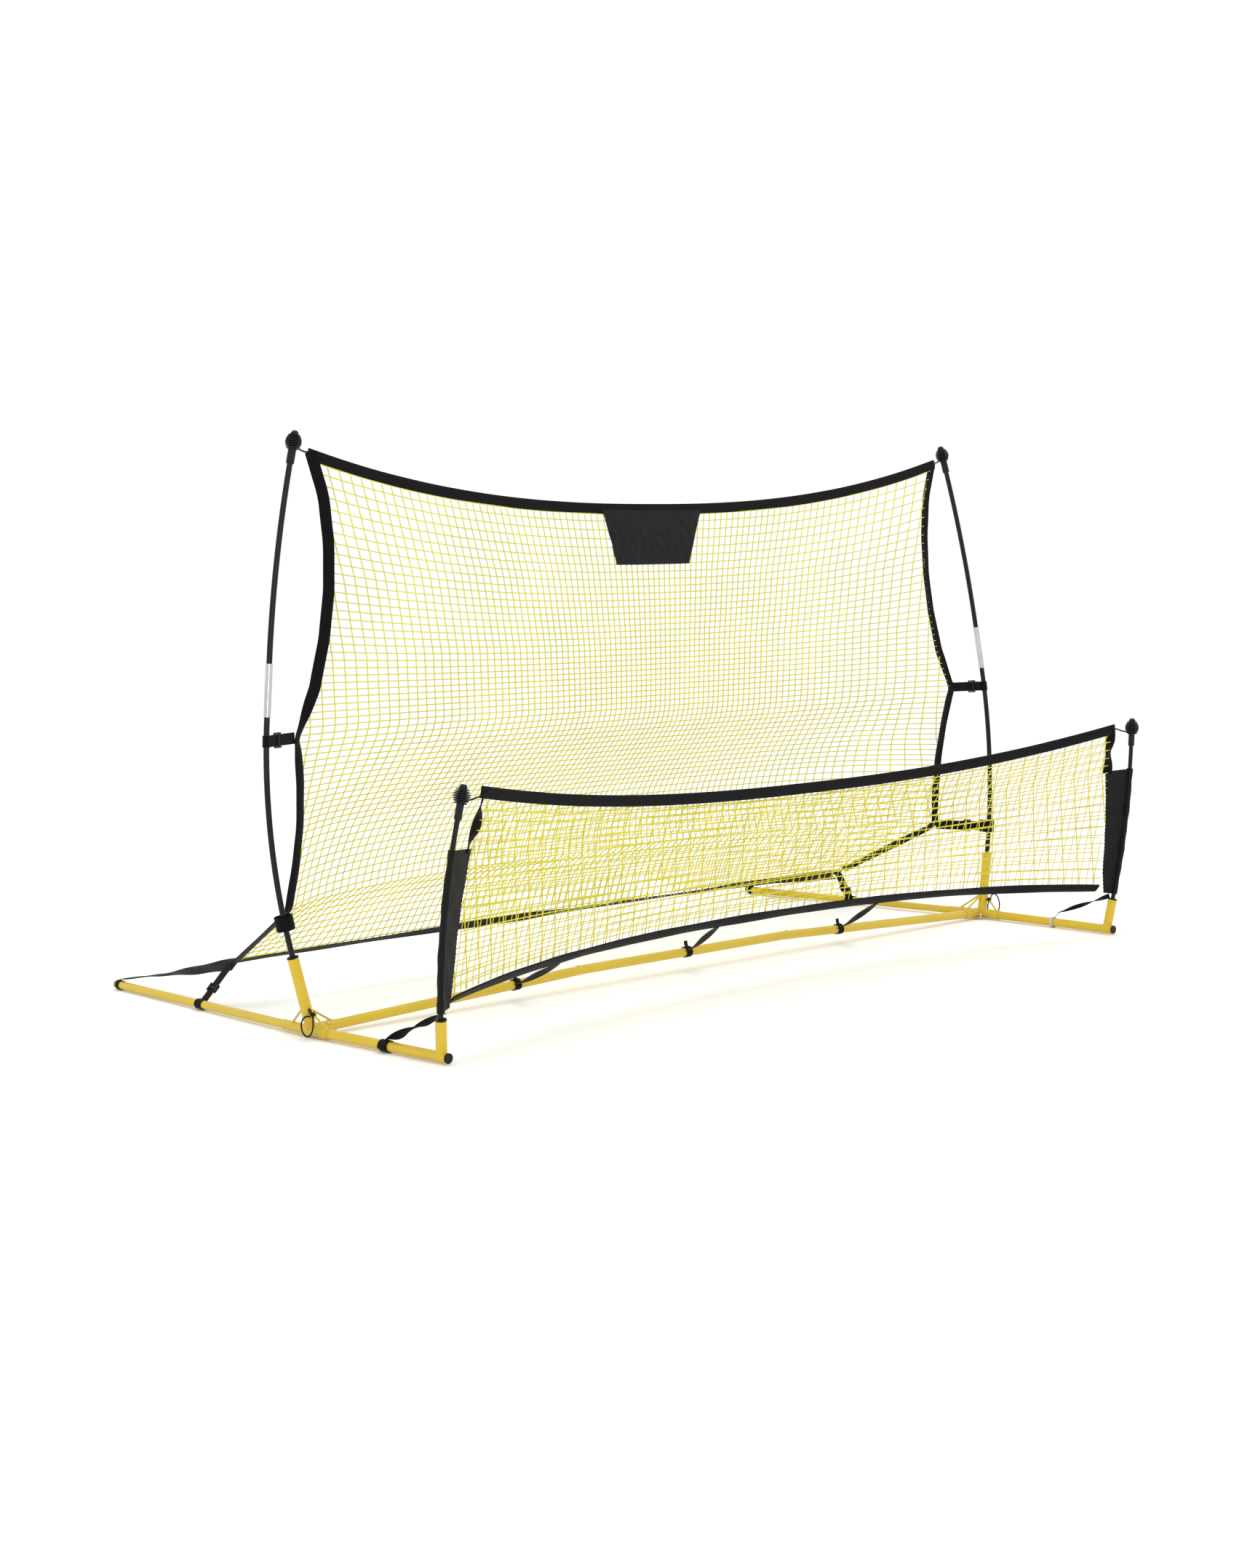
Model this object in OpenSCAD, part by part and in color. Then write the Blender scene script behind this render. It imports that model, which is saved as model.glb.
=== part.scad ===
// Football rebounder: a tall rebound net on two bowed poles and a low net in front,
// on a steel tube base. The base stands on the ground plane z = 0.
// +X runs along the crossbar, -Y is the low net's side, +Z is up.

/* [Base] */
// Half the distance between the two foot tubes, at the corner fittings
half_w = 1200; // [1000:10:1400]
// Length of a rear foot from the corner to the tip of its end cap
rear_len = 792; // [650:1:950]
// Length of a front foot from the corner to the tip of its end cap
front_len = 441; // [380:1:530]
// How far the rear feet turn inwards, in degrees
rear_toe = 5.3; // [2:0.1:7]
// How much higher the middle of the crossbar is than its ends
cross_rise = 30; // [10:1:40]
// Length of the crossbar's middle tube
middle_len = 720; // [600:10:860]

/* [Tubes] */
// Diameter of the corner sleeves that the feet and the crossbar push into
sleeve_d = 25; // [25:0.5:30]
// Diameter of the front feet and the crossbar
tube_d = 22; // [20:0.1:22]
// Diameter of the rear feet
rear_d = 19; // [17:0.1:19]
// Wall of every steel tube
wall = 1.35; // [1:0.05:1.4]
// Gap all round where one tube pushes into another
slip = 0.08; // [0.05:0.01:0.1]
// Depth that one tube pushes into another
plug = 60; // [45:1:70]

/* [Poles] */
// Diameter of the tall poles
pole_d = 12.7; // [10:0.1:13]
// Diameter of the short poles
short_d = 11; // [9:0.1:12]
// Outward lean of the tall pole sockets, in degrees
socket_lean = 13.5; // [11:0.1:15]
// Rearward lean of the tall poles, in degrees
rear_lean = 5; // [3:0.1:7]
// Length of a lower pole above its socket
lower_len = 518; // [460:1:570]
// Length of an upper pole from its ferrule to its cap
upper_len = 437; // [380:1:490]
// Length of the steel ferrule that joins the pole halves
ferrule_len = 110; // [90:1:130]
// Diameter of the ferrule
ferrule_d = 15.4; // [14:0.1:16]
// Length of a short pole from its socket to its cap
short_len = 418; // [370:1:470]
// Outward lean of the short pole sockets, in degrees
short_lean = 7.5; // [5:0.1:9]
// Forward lean of the short poles, in degrees
fore_lean = 7; // [4:0.1:9]

/* [Soft goods] */
// Width of the webbing that borders the nets
band_w = 25; // [20:1:30]
// Thickness of the webbing
web_t = 1.6; // [1.2:0.1:2]
// Thickness that stands for a net with its knots
net_t = 2; // [1.5:0.1:3]
// How far the top edge of the tall net sags in the middle
top_sag = 122; // [90:1:150]

/* [Buttons] */
// Diameter of the spring buttons that lock the tubes
button_d = 7; // [6:0.1:8]
// Gap all round a button in its hole
button_gap = 0.2; // [0.1:0.05:0.3]

/* [Hidden] */
$fn = 48;

steel = "gold";
black = "#222222";
netting = "khaki";

foot_z = sleeve_d / 2;
cap_t = 4;
rear_drop = asin((foot_z - rear_d / 2) / rear_len);
front_drop = asin((foot_z - tube_d / 2) / front_len);
sleeve_id = tube_d + 2 * slip;
rear_sleeve_d = rear_d + 2 * slip + 2 * wall;
front_sleeve = 68;
rear_sleeve = 95;
bar_sleeve = 70;
bar_x = middle_len / 2;
bar_tilt = atan(cross_rise / (half_w - bar_x));
bar_run = (half_w - bar_x) / cos(bar_tilt);
joint_z = foot_z + cross_rise;
inner_d = tube_d - 2 * wall;
spigot_d = inner_d - 2 * slip;
spigot_id = spigot_d - 4 * wall;
spigot_root = 10;
button_in = 18;
joint_rise = 1.9;
sleeve_rise = joint_rise + (sleeve_d - tube_d) / 2;

// tall pole: socket, then an arc, a straight ferrule and a flatter arc
post_y = -9;
stub_len = 70;
socket_len = 168;
lower_bend = 21.5;
upper_bend = 8.7;
pole_depth = 80;
socket_id = sleeve_d - 2 * wall;
lower_r = lower_len / (lower_bend * PI / 180);
upper_r = upper_len / (upper_bend * PI / 180);
ferrule_lean = socket_lean - lower_bend;
tip_lean = ferrule_lean - upper_bend;
function along(p, lean, len) = p + len * [sin(lean), cos(lean)];
function arc_end(p, lean0, lean1, r) =
    p + r * [cos(lean1) - cos(lean0), sin(lean0) - sin(lean1)];
p_socket = along([0, 0], socket_lean, socket_len);
p_lower = arc_end(p_socket, socket_lean, ferrule_lean, lower_r);
p_ferrule = along(p_lower, ferrule_lean, ferrule_len);
p_upper = arc_end(p_ferrule, ferrule_lean, tip_lean, upper_r);
neck_len = 34;
p_tip = along(p_upper, tip_lean, neck_len);

// short pole: a straight socket and one arc
short_y = -(front_len - 22);
short_socket = 78;
short_bend = 15.5;
short_depth = 50;
short_r = short_len / (short_bend * PI / 180);
short_tip_lean = short_lean - short_bend;
q_socket = along([0, 0], short_lean, short_socket);
q_upper = arc_end(q_socket, short_lean, short_tip_lean, short_r);
q_tip = along(q_upper, short_tip_lean, neck_len);
sleeve_from = 0.6;
sleeve_turn = 12.6;
sleeve_wall = 1.8;
flap_top = 80;
flap_bottom = 44;

// a point in the plane of a tall or a short pole, seen in the whole object
function tall_point(p) = [half_w + p[0], post_y + p[1] * sin(rear_lean), foot_z + p[1] * cos(rear_lean)];
function short_point(p) =
    [half_w + p[0], short_y - p[1] * sin(fore_lean), foot_z + p[1] * cos(fore_lean)];

// edges of the tall net, right-hand side, from the top corner to the bottom corner
function tall_dir(lean) = [sin(lean), cos(lean) * sin(rear_lean), cos(lean) * cos(rear_lean)];
mid_turn = 19.3;
low_turn = 3.1;
p_mid = arc_end(p_socket, socket_lean, socket_lean - mid_turn, lower_r);
p_low = arc_end(p_socket, socket_lean, socket_lean - low_turn, lower_r);
mid_pole = tall_point(p_mid);
low_pole = tall_point(p_low);
edge_top = tall_point(p_tip) + [-38, 0, 4];
edge_mid = mid_pole + [-100, 30, 0];
edge_low = low_pole + [-92, 111, 3];
corner_y = 411;
rear_foot_x = half_w - corner_y * tan(rear_toe);
edge_end = [rear_foot_x - 76, corner_y, 96];
waist = 30;
side_edge = [
    for (i = [0 : 5])
        let (t = i / 6)
        edge_top + (edge_mid - edge_top) * t - [waist * 2.7 * sin(180 * t) * (1 - t / 3), 0, 0],
    edge_mid,
    for (i = [1 : 3])
        let (t = i / 4)
        edge_mid + (edge_low - edge_mid) * t - [waist * 0.7 * sin(180 * t), 0, 0],
    edge_low,
    edge_low + (edge_end - edge_low) / 3,
    edge_low + (edge_end - edge_low) * 2 / 3,
    edge_end];
edge_steps = len(side_edge) - 1;
function edge_at(b) =
    let (s = min(max(b, 0), 1) * edge_steps, k = min(floor(s), edge_steps - 1), t = s - k)
    side_edge[k] * (1 - t) + side_edge[k + 1] * t;
// a point of the tall net: a runs from -1 to 1 across, b from 0 at the top to 1 at the bottom
// below this share of its height the tall net hangs back towards its bottom edge
fold_from = 0.42;
fold_back = 115;
function fold(a, b) =
    fold_back * (1 - pow(abs(a), 6)) * pow(sin(180 * max(b - fold_from, 0) / (1 - fold_from)), 1.5);
function tall_net(a, b) =
    let (e = edge_at(b), slack = 1 - pow(abs(a), 2.4))
    [a * e[0],
     e[1] + slack * (20 * (1 - b) + 60 * sin(180 * pow(b, 3))) + fold(a, b),
     e[2] - slack * (top_sag * pow(1 - b, 1.6) - 30 * sin(180 * pow(b, 3)))];

// the whole object is centred on the origin: its rear end is a rear cap, its front end a short pole's cap
cap_ring_at = 16.8;
cap_ring_r = 18;
rear_reach = rear_len * cos(rear_drop) * cos(rear_toe) + rear_d / 2 * sin(rear_toe);
fore_reach = cap_ring_r * cos(fore_lean) - short_point(along(q_tip, short_tip_lean, cap_ring_at))[1];
y_shift = (fore_reach - rear_reach) / 2;

// a point of a short pole's sleeve: turn is the angle along the arc, reach the distance inwards
function sleeve_point(turn, reach) =
    let (r = short_r - reach, c = q_socket + short_r * [-cos(short_lean), sin(short_lean)])
    c + r * [cos(turn - short_lean), sin(turn - short_lean)];
// edges of the low net: its top corner, then the inner edge of the sleeve
low_gap = 4;
low_corner = short_point(q_tip) + [-80, 0, 28];
low_a = band_w / low_corner[0];
function beside_sleeve(turn, reach) =
    let (p = short_point(sleeve_point(turn, reach + 1.5))) [p[0] / (1 - low_a), p[1], p[2]];
low_side = [low_corner,
    beside_sleeve(sleeve_from + sleeve_turn, flap_top),
    beside_sleeve(sleeve_from, flap_bottom)];
low_run = norm(low_side[1] - low_side[0]) + norm(low_side[2] - low_side[1]);
low_split = norm(low_side[1] - low_side[0]) / low_run;
function low_edge(b) = b < low_split
    ? low_side[0] + (low_side[1] - low_side[0]) * b / low_split
    : low_side[1] + (low_side[2] - low_side[1]) * (b - low_split) / (1 - low_split);
low_top_sag = 82;
low_top_back = 95;
low_bottom_rise = 40;
low_bottom_back = 170;
function low_net(a, b) =
    let (e = low_edge(b), slack = 1 - pow(abs(a), 2.4))
    [a * e[0],
     e[1] + slack * (low_top_back * (1 - b) + low_bottom_back * b),
     e[2] - slack * (low_top_sag * (1 - b) - low_bottom_rise * b)];

module at_base() {
    translate([0, y_shift, 0]) children();
}

// right as drawn, left mirrored
module side(s) {
    at_base() mirror([s < 0 ? 1 : 0, 0, 0]) children();
}

module tube(d, id, len) {
    difference() {
        cylinder(d = d, h = len);
        translate([0, 0, -1]) cylinder(d = id, h = len + 2);
    }
}

module rod(p, q, d) {
    v = q - p;
    translate(p)
        rotate([0, acos(v[2] / norm(v)), atan2(v[1], v[0])])
            cylinder(d = d, h = norm(v));
}

// frames of the right-hand side, each with its local +Z along the tube
module on_rear_foot() {
    translate([half_w, 0, foot_z]) rotate([0, 0, rear_toe]) rotate([-90 - rear_drop, 0, 0]) children();
}
module on_front_foot() {
    translate([half_w, 0, foot_z]) rotate([90 + front_drop, 0, 0]) children();
}
module on_bar() {
    translate([half_w, 0, foot_z]) rotate([0, -90 + bar_tilt, 0]) children();
}
// local +X outwards and local +Y up the pole
module tall_plane() {
    translate([half_w, post_y, foot_z]) rotate([90 - rear_lean, 0, 0]) children();
}
module short_plane() {
    translate([half_w, short_y, foot_z]) rotate([90 + fore_lean, 0, 0]) children();
}
module at_pole(p, lean) {
    translate([p[0], p[1], 0]) rotate([0, 0, -lean]) rotate([-90, 0, 0]) children();
}
// an arc that starts at p and bends inwards, with its section drawn about its own centre
module bow(p, lean, bend, r) {
    translate([p[0] - r * cos(lean), p[1] + r * sin(lean), 0])
        rotate([0, 0, -lean])
            rotate_extrude(angle = bend, $fn = 96) translate([r, 0]) children();
}

// --- closed sheets and strips ---
// a closed sheet over the points of a grid, half of its thickness on each side
module sheet(grid, t, lift = 0) {
    m = len(grid);
    n = len(grid[0]);
    function clampi(v, hi) = min(max(v, 0), hi);
    function normal_at(i, j) =
        let (u = grid[clampi(i + 1, m - 1)][j] - grid[clampi(i - 1, m - 1)][j],
             w = grid[i][clampi(j + 1, n - 1)] - grid[i][clampi(j - 1, n - 1)],
             c = cross(u, w))
        c / norm(c);
    front = [for (i = [0 : m - 1]) for (j = [0 : n - 1])
        grid[i][j] + normal_at(i, j) * (lift + t / 2)];
    back = [for (i = [0 : m - 1]) for (j = [0 : n - 1])
        grid[i][j] + normal_at(i, j) * (lift - t / 2)];
    k = m * n;
    rim = concat(
        [for (j = [0 : n - 1]) j],
        [for (i = [1 : m - 1]) i * n + n - 1],
        [for (j = [1 : n - 1]) (m - 1) * n + n - 1 - j],
        [for (i = [1 : m - 2]) (m - 1 - i) * n]);
    r = len(rim);
    faces = concat(
        [for (i = [0 : m - 2]) for (j = [0 : n - 2]) each let (a = i * n + j)
            [[a, a + n + 1, a + n], [a, a + 1, a + n + 1]]],
        [for (i = [0 : m - 2]) for (j = [0 : n - 2]) each let (a = k + i * n + j)
            [[a, a + n, a + n + 1], [a, a + n + 1, a + 1]]],
        [for (q = [0 : r - 1]) each let (a = rim[q], b = rim[(q + 1) % r])
            [[a, b + k, b], [a, a + k, b + k]]]);
    polyhedron(concat(front, back), faces);
}

module tall_sheet(a0, a1, b0, b1, na, nb, t, lift = 0, pinch = 0) {
    sheet([for (j = [0 : nb]) let (b = b0 + (b1 - b0) * j / nb)
        [for (i = [0 : na]) let (a = a0 + (a1 - a0) * i / na) tall_net(a * (1 - pinch * j / nb), b)]],
        t, lift);
}
module low_sheet(a0, a1, b0, b1, na, nb, t, lift = 0) {
    sheet([for (j = [0 : nb]) let (b = b0 + (b1 - b0) * j / nb)
        [for (i = [0 : na]) let (a = a0 + (a1 - a0) * i / na) low_net(a, b)]], t, lift);
}
// shares of the net taken by the border webbing
tall_a = band_w / edge_at(0.5)[0];
tall_b = 0.26 * band_w / 25 / edge_steps;
low_b = band_w / low_run;
cut = 0.0012;

// a flat strap from p to q, its width along w
module strap(p, q, w, width, t) {
    sheet([[p - w * width / 2, p + w * width / 2], [q - w * width / 2, q + w * width / 2]], t);
}
function square_to(w, p, q) =
    let (u = (q - p) / norm(q - p), v = w - u * (w * u)) v / norm(v);
// the frame of a strap: local +X along it, local +Z across its width
module on_strap(p, q, w, along) {
    u = (q - p) / norm(q - p);
    wide = square_to(w, p, q);
    n = cross(wide, u);
    o = p + u * along;
    multmatrix([[u[0], n[0], wide[0], o[0]], [u[1], n[1], wide[1], o[1]],
        [u[2], n[2], wide[2], o[2]], [0, 0, 0, 1]]) children();
}

// --- base ---
post_top = tall_point(along([0, 0], socket_lean, stub_len - 4));
module corner_fitting() {
    color(steel) difference() {
        union() {
            on_front_foot() translate([0, 0, -14]) cylinder(d = sleeve_d, h = front_sleeve + 14);
            on_rear_foot() cylinder(d = rear_sleeve_d, h = rear_sleeve);
            on_bar() cylinder(d = sleeve_d, h = bar_sleeve);
            tall_plane() at_pole([0, 0], socket_lean) cylinder(d = sleeve_d, h = stub_len);
            for (q = brace_ends) rod(brace_from, q, brace_d);
            gusset();
        }
        on_front_foot() translate([0, 0, front_sleeve - plug]) cylinder(d = sleeve_id, h = plug + 1);
        on_rear_foot() translate([0, 0, rear_sleeve - plug - 15])
            cylinder(d = rear_d + 2 * slip, h = plug + 16);
        on_bar() translate([0, 0, bar_sleeve - plug + 5]) cylinder(d = sleeve_id, h = plug);
        tall_plane() at_pole([0, 0], socket_lean) translate([0, 0, 25])
            cylinder(d = socket_id, h = stub_len);
        foot_button_place() translate([0, 0, -sleeve_d / 2])
            cylinder(d = button_d + 2 * button_gap, h = sleeve_d);
        bar_button_place() translate([0, 0, -sleeve_d / 2])
            cylinder(d = button_d + 2 * button_gap, h = sleeve_d);
        bolt_place() translate([0, 0, -gusset_t]) cylinder(d = bolt_d + 2 * button_gap, h = 2 * gusset_t);
    }
}
brace_d = 5;
brace_ends = [
    [half_w, -front_sleeve + 8, foot_z + sleeve_d / 2 - 3],
    [half_w - 62 * tan(rear_toe), 62, foot_z + rear_sleeve_d / 2 - 3],
    [half_w - bar_sleeve + 8, 0, foot_z + sleeve_d / 2]];
gusset_w = sleeve_d + 21;
gusset_t = 3;
bolt_d = 5;
bolt_in = sleeve_d / 2 + 5.6;
module gusset() {
    translate([half_w - gusset_w, -gusset_w, foot_z - gusset_t / 2])
        linear_extrude(gusset_t) polygon([[0, gusset_w], [gusset_w, 0], [gusset_w, gusset_w]]);
}
module bolt_place() {
    translate([half_w - bolt_in, -bolt_in, foot_z]) children();
}
module gusset_bolt() {
    color("silver") bolt_place() {
        translate([0, 0, gusset_t / 2]) cylinder(d = 9, h = 3.2);
        translate([0, 0, -gusset_t / 2 - 8]) cylinder(d = bolt_d, h = gusset_t + 9);
        translate([0, 0, -gusset_t / 2 - 4]) cylinder(d = 9, h = 4, $fn = 6);
    }
}
// places of the buttons, local +Z out of the tube
module foot_button_place() {
    on_front_foot() translate([0, 0, 36]) rotate([0, 90, 0])
        translate([0, 0, tube_d / 2]) children();
}
module bar_button_place() {
    on_bar() translate([0, 0, 46]) rotate([0, 0, -45]) rotate([0, 90, 0])
        translate([0, 0, tube_d / 2]) children();
}
module joint_button_place(s) {
    translate([s * bar_x, 0, joint_z]) rotate([0, s * bar_tilt, 0])
        translate([s * button_in, 0, tube_d / 2]) children();
}

module rear_tube() {
    color(steel) on_rear_foot() translate([0, 0, rear_sleeve - plug])
        tube(rear_d, rear_d - 2 * wall, rear_len - cap_t - rear_sleeve + plug);
}
module rear_cap() {
    color(black) on_rear_foot() translate([0, 0, rear_len - cap_t]) {
        cylinder(d = rear_d, h = cap_t);
        translate([0, 0, -18]) cylinder(d = rear_d - 2 * wall - 2 * slip, h = 18.5);
    }
}
front_tube_from = front_sleeve - plug + 1;
module front_tube() {
    color(steel) difference() {
        union() {
            on_front_foot() translate([0, 0, front_tube_from])
                cylinder(d = tube_d, h = front_len - cap_t - front_tube_from);
            short_plane() at_pole([0, 0], short_lean) cylinder(d = sleeve_d - 1, h = short_socket);
        }
        on_front_foot() translate([0, 0, front_tube_from - 1])
            cylinder(d = tube_d - 2 * wall, h = front_len);
        short_plane() at_pole([0, 0], short_lean) translate([0, 0, tube_d / 2 + 6])
            cylinder(d = sleeve_d - 1 - 2 * wall, h = short_socket);
        foot_button_place() translate([0, 0, -8]) cylinder(d = button_d + 2 * button_gap, h = 16);
    }
}
module front_cap() {
    color(black) on_front_foot() translate([0, 0, front_len - cap_t]) {
        cylinder(d = tube_d, h = cap_t);
        translate([0, 0, -12]) cylinder(d = tube_d - 2 * wall - 2 * slip, h = 12.5);
    }
}
bar_from = bar_sleeve - plug + 6;
module outer_bar(s) {
    color(steel) difference() {
        on_bar() translate([0, 0, bar_from]) cylinder(d = tube_d, h = bar_run - bar_from - 0.6);
        on_bar() translate([0, 0, bar_from - 1]) cylinder(d = tube_d - 2 * wall, h = bar_run);
        bar_button_place() translate([0, 0, -8]) cylinder(d = button_d + 2 * button_gap, h = 16);
        joint_button_place(1) translate([0, 0, -8]) cylinder(d = button_d + 2 * button_gap, h = 16);
    }
}
module middle_bar() {
    color(steel) at_base() difference() {
        union() {
            translate([-bar_x, 0, joint_z]) rotate([0, 90, 0]) cylinder(d = tube_d, h = middle_len);
            for (s = [-1, 1]) spigot(s, spigot_d, 6, plug);
        }
        translate([spigot_root - bar_x, 0, joint_z]) rotate([0, 90, 0])
            cylinder(d = inner_d, h = middle_len - 2 * spigot_root);
        for (s = [-1, 1]) {
            spigot(s, spigot_id, spigot_root + 2, plug + 1);
            joint_button_place(s) translate([0, 0, -8]) cylinder(d = button_d + 2 * button_gap, h = 16);
        }
    }
}
// the reduced end that pushes into an outer tube, in line with that tube
module spigot(s, d, back, len) {
    translate([s * bar_x, 0, joint_z]) rotate([0, s * bar_tilt, 0]) rotate([0, s * 90, 0])
        translate([0, 0, -back]) cylinder(d = d, h = len + back);
}

// --- spring buttons: a domed pin on a leaf inside the tube ---
module button(id, rise) {
    leaf_z = -tube_d / 2 + id / 2 - 1.6;
    color("silver") {
        difference() {
            translate([0, 0, leaf_z]) cylinder(d = button_d, h = rise - leaf_z);
            translate([0, 0, rise]) rotate_extrude()
                difference() {
                    translate([button_d / 2 - 1, -1]) square(2);
                    translate([button_d / 2 - 1, -1]) circle(r = 1);
                }
        }
        translate([-12, -3, leaf_z - 0.8]) cube([24, 6, 1]);
    }
}
module joint_button(s) {
    at_base() joint_button_place(s) button(spigot_id, joint_rise);
}

// --- tall poles ---
module pole_socket() {
    color(steel) tall_plane() at_pole([0, 0], socket_lean) {
        translate([0, 0, stub_len + 0.3]) tube(sleeve_d, socket_id, socket_len - stub_len - 3.3);
        translate([0, 0, stub_len - 34]) difference() {
            cylinder(d = socket_id - 2 * slip, h = 60);
            translate([0, 0, -1]) cylinder(d = socket_id - 2 * slip - 2 * wall, h = 62);
        }
        translate([0, 0, stub_len + 0.3]) tube(socket_id + 0.5, socket_id - 2 * slip - 1, 20);
    }
}
module socket_bush(d, id, od, depth) {
    color(black) difference() {
        union() {
            translate([0, 0, -3]) cylinder(d = od + 0.6, h = 3);
            translate([0, 0, -depth]) cylinder(d = id - 2 * slip, h = depth);
        }
        translate([0, 0, -depth - 1]) cylinder(d = d + 2 * slip, h = depth + 2);
    }
}
module tall_bush() {
    tall_plane() at_pole(p_socket, socket_lean) socket_bush(pole_d, socket_id, sleeve_d, 30);
}
module short_bush() {
    short_plane() at_pole(q_socket, short_lean) translate([0, 0, 3.1])
        socket_bush(short_d, sleeve_d - 1 - 2 * wall, sleeve_d - 1, 25);
}
module lower_pole() {
    color(black) tall_plane() {
        at_pole(p_socket, socket_lean) translate([0, 0, -pole_depth])
            cylinder(d = pole_d - 0.1, h = pole_depth + 1);
        bow(p_socket, socket_lean, lower_bend, lower_r) circle(d = pole_d);
        at_pole(p_lower, ferrule_lean) translate([0, 0, -1])
            cylinder(d = pole_d - 0.1, h = ferrule_len / 2 + 0.5);
    }
}
module ferrule() {
    color("silver") tall_plane() at_pole(p_lower, ferrule_lean) difference() {
        translate([0, 0, -2]) cylinder(d = ferrule_d, h = ferrule_len + 4);
        translate([0, 0, -3]) cylinder(d = pole_d + 2 * slip, h = ferrule_len + 6);
    }
}
module upper_pole() {
    color(black) tall_plane() {
        at_pole(p_lower, ferrule_lean) translate([0, 0, ferrule_len / 2])
            cylinder(d = pole_d - 0.1, h = ferrule_len / 2 + 1);
        bow(p_ferrule, ferrule_lean, upper_bend, upper_r) circle(d = pole_d);
        at_pole(p_upper, tip_lean) translate([0, 0, -1]) cylinder(d = pole_d - 0.1, h = neck_len + 5);
    }
}

// --- ribbed caps on the pole tips, drawn with the pole's tip at the origin ---
cap_rings = 7;
ring_pitch = 4.6;
ring_t = 2;
core_d = 17;
function ring_d(i) = 22 + 14 * sin(20 + 140 * i / (cap_rings - 1));
module ribbed_cap(d) {
    bore = d + 2 * slip;
    color(black) difference() {
        union() {
            translate([0, 0, 2 - neck_len]) cylinder(d = d + 5, h = neck_len);
            cylinder(d = core_d, h = cap_rings * ring_pitch + 4);
            for (i = [0 : cap_rings - 1])
                translate([0, 0, i * ring_pitch + 1])
                    cylinder(d = ring_d(i), h = ring_t);
            translate([0, 0, cap_rings * ring_pitch + 3])
                cylinder(d1 = core_d, d2 = core_d - 6, h = 5, $fn = 48);
        }
        translate([0, 0, -neck_len - 1]) cylinder(d = bore, h = neck_len + 7);
    }
}
module tall_cap() {
    tall_plane() at_pole(p_tip, tip_lean) ribbed_cap(pole_d);
}
module short_cap() {
    short_plane() at_pole(q_tip, short_tip_lean) ribbed_cap(short_d);
}

// --- short poles and their fabric sleeves ---
module short_pole() {
    color(black) short_plane() {
        at_pole(q_socket, short_lean) translate([0, 0, -short_depth])
            cylinder(d = short_d - 0.1, h = short_depth + 1);
        bow(q_socket, short_lean, short_bend, short_r) circle(d = short_d);
        at_pole(q_upper, short_tip_lean) translate([0, 0, -1]) cylinder(d = short_d - 0.1, h = neck_len + 5);
    }
}
module pole_sleeve() {
    steps = 12;
    color(black) short_plane() difference() {
        union() {
            bow_part(sleeve_from, sleeve_turn) circle(d = short_d + 2 * sleeve_wall);
            translate([0, 0, -1.5]) linear_extrude(3) polygon(concat(
                [for (i = [0 : steps]) sleeve_point(sleeve_from + sleeve_turn * i / steps, short_d / 2 + 1)],
                [sleeve_point(sleeve_from + sleeve_turn, flap_top), sleeve_point(sleeve_from, flap_bottom)]));
        }
        bow_part(sleeve_from - 0.5, sleeve_turn + 1) circle(d = short_d + 1);
    }
}
// a stretch of the short pole's arc
module bow_part(from, turn) {
    c = q_socket + short_r * [-cos(short_lean), sin(short_lean)];
    translate([c[0], c[1], 0]) rotate([0, 0, from - short_lean])
        rotate_extrude(angle = turn, $fn = 96) translate([short_r, 0]) children();
}

// --- straps, each with a loop round its tube or pole ---
loop_t = 2.4;
loop_gap = 0.4;
module loop(d, w) {
    translate([0, 0, -w / 2]) tube(d + 2 * loop_gap + 2 * loop_t, d + 2 * loop_gap, w);
}
function toward(p, q, len) = p + (q - p) / norm(q - p) * len;
mid_dir = tall_dir(socket_lean - mid_turn);
low_dir = tall_dir(socket_lean - low_turn);
foot_along = [-sin(rear_toe), cos(rear_toe), 0];
rear_strap_y = corner_y + 14;
rear_from = [half_w - rear_strap_y * tan(rear_toe), rear_strap_y, foot_z - rear_strap_y * sin(rear_drop)];
loop_mid = loop_gap + loop_t / 2;
seam_gap = 0.5;
// a strap from its loop to an edge of the net, square to its own run
module edge_strap(from, to, w, d) {
    strap(toward(from, to, d / 2 + loop_gap + loop_t), toward(to, from, seam_gap), square_to(w, from, to),
        band_w, web_t);
}
module mid_strap() {
    color(black) {
        edge_strap(mid_pole, edge_mid, mid_dir, pole_d);
        tall_plane() at_pole(p_mid, socket_lean - mid_turn) loop(pole_d, band_w);
    }
}
module low_strap() {
    color(black) {
        edge_strap(low_pole, edge_low, low_dir, pole_d);
        tall_plane() at_pole(p_low, socket_lean - low_turn) loop(pole_d, band_w);
    }
}
module rear_strap() {
    color(black) {
        edge_strap(rear_from, edge_end, foot_along, rear_d);
        on_rear_foot() translate([0, 0, rear_strap_y / cos(rear_toe)]) loop(rear_d, band_w);
    }
}
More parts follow.
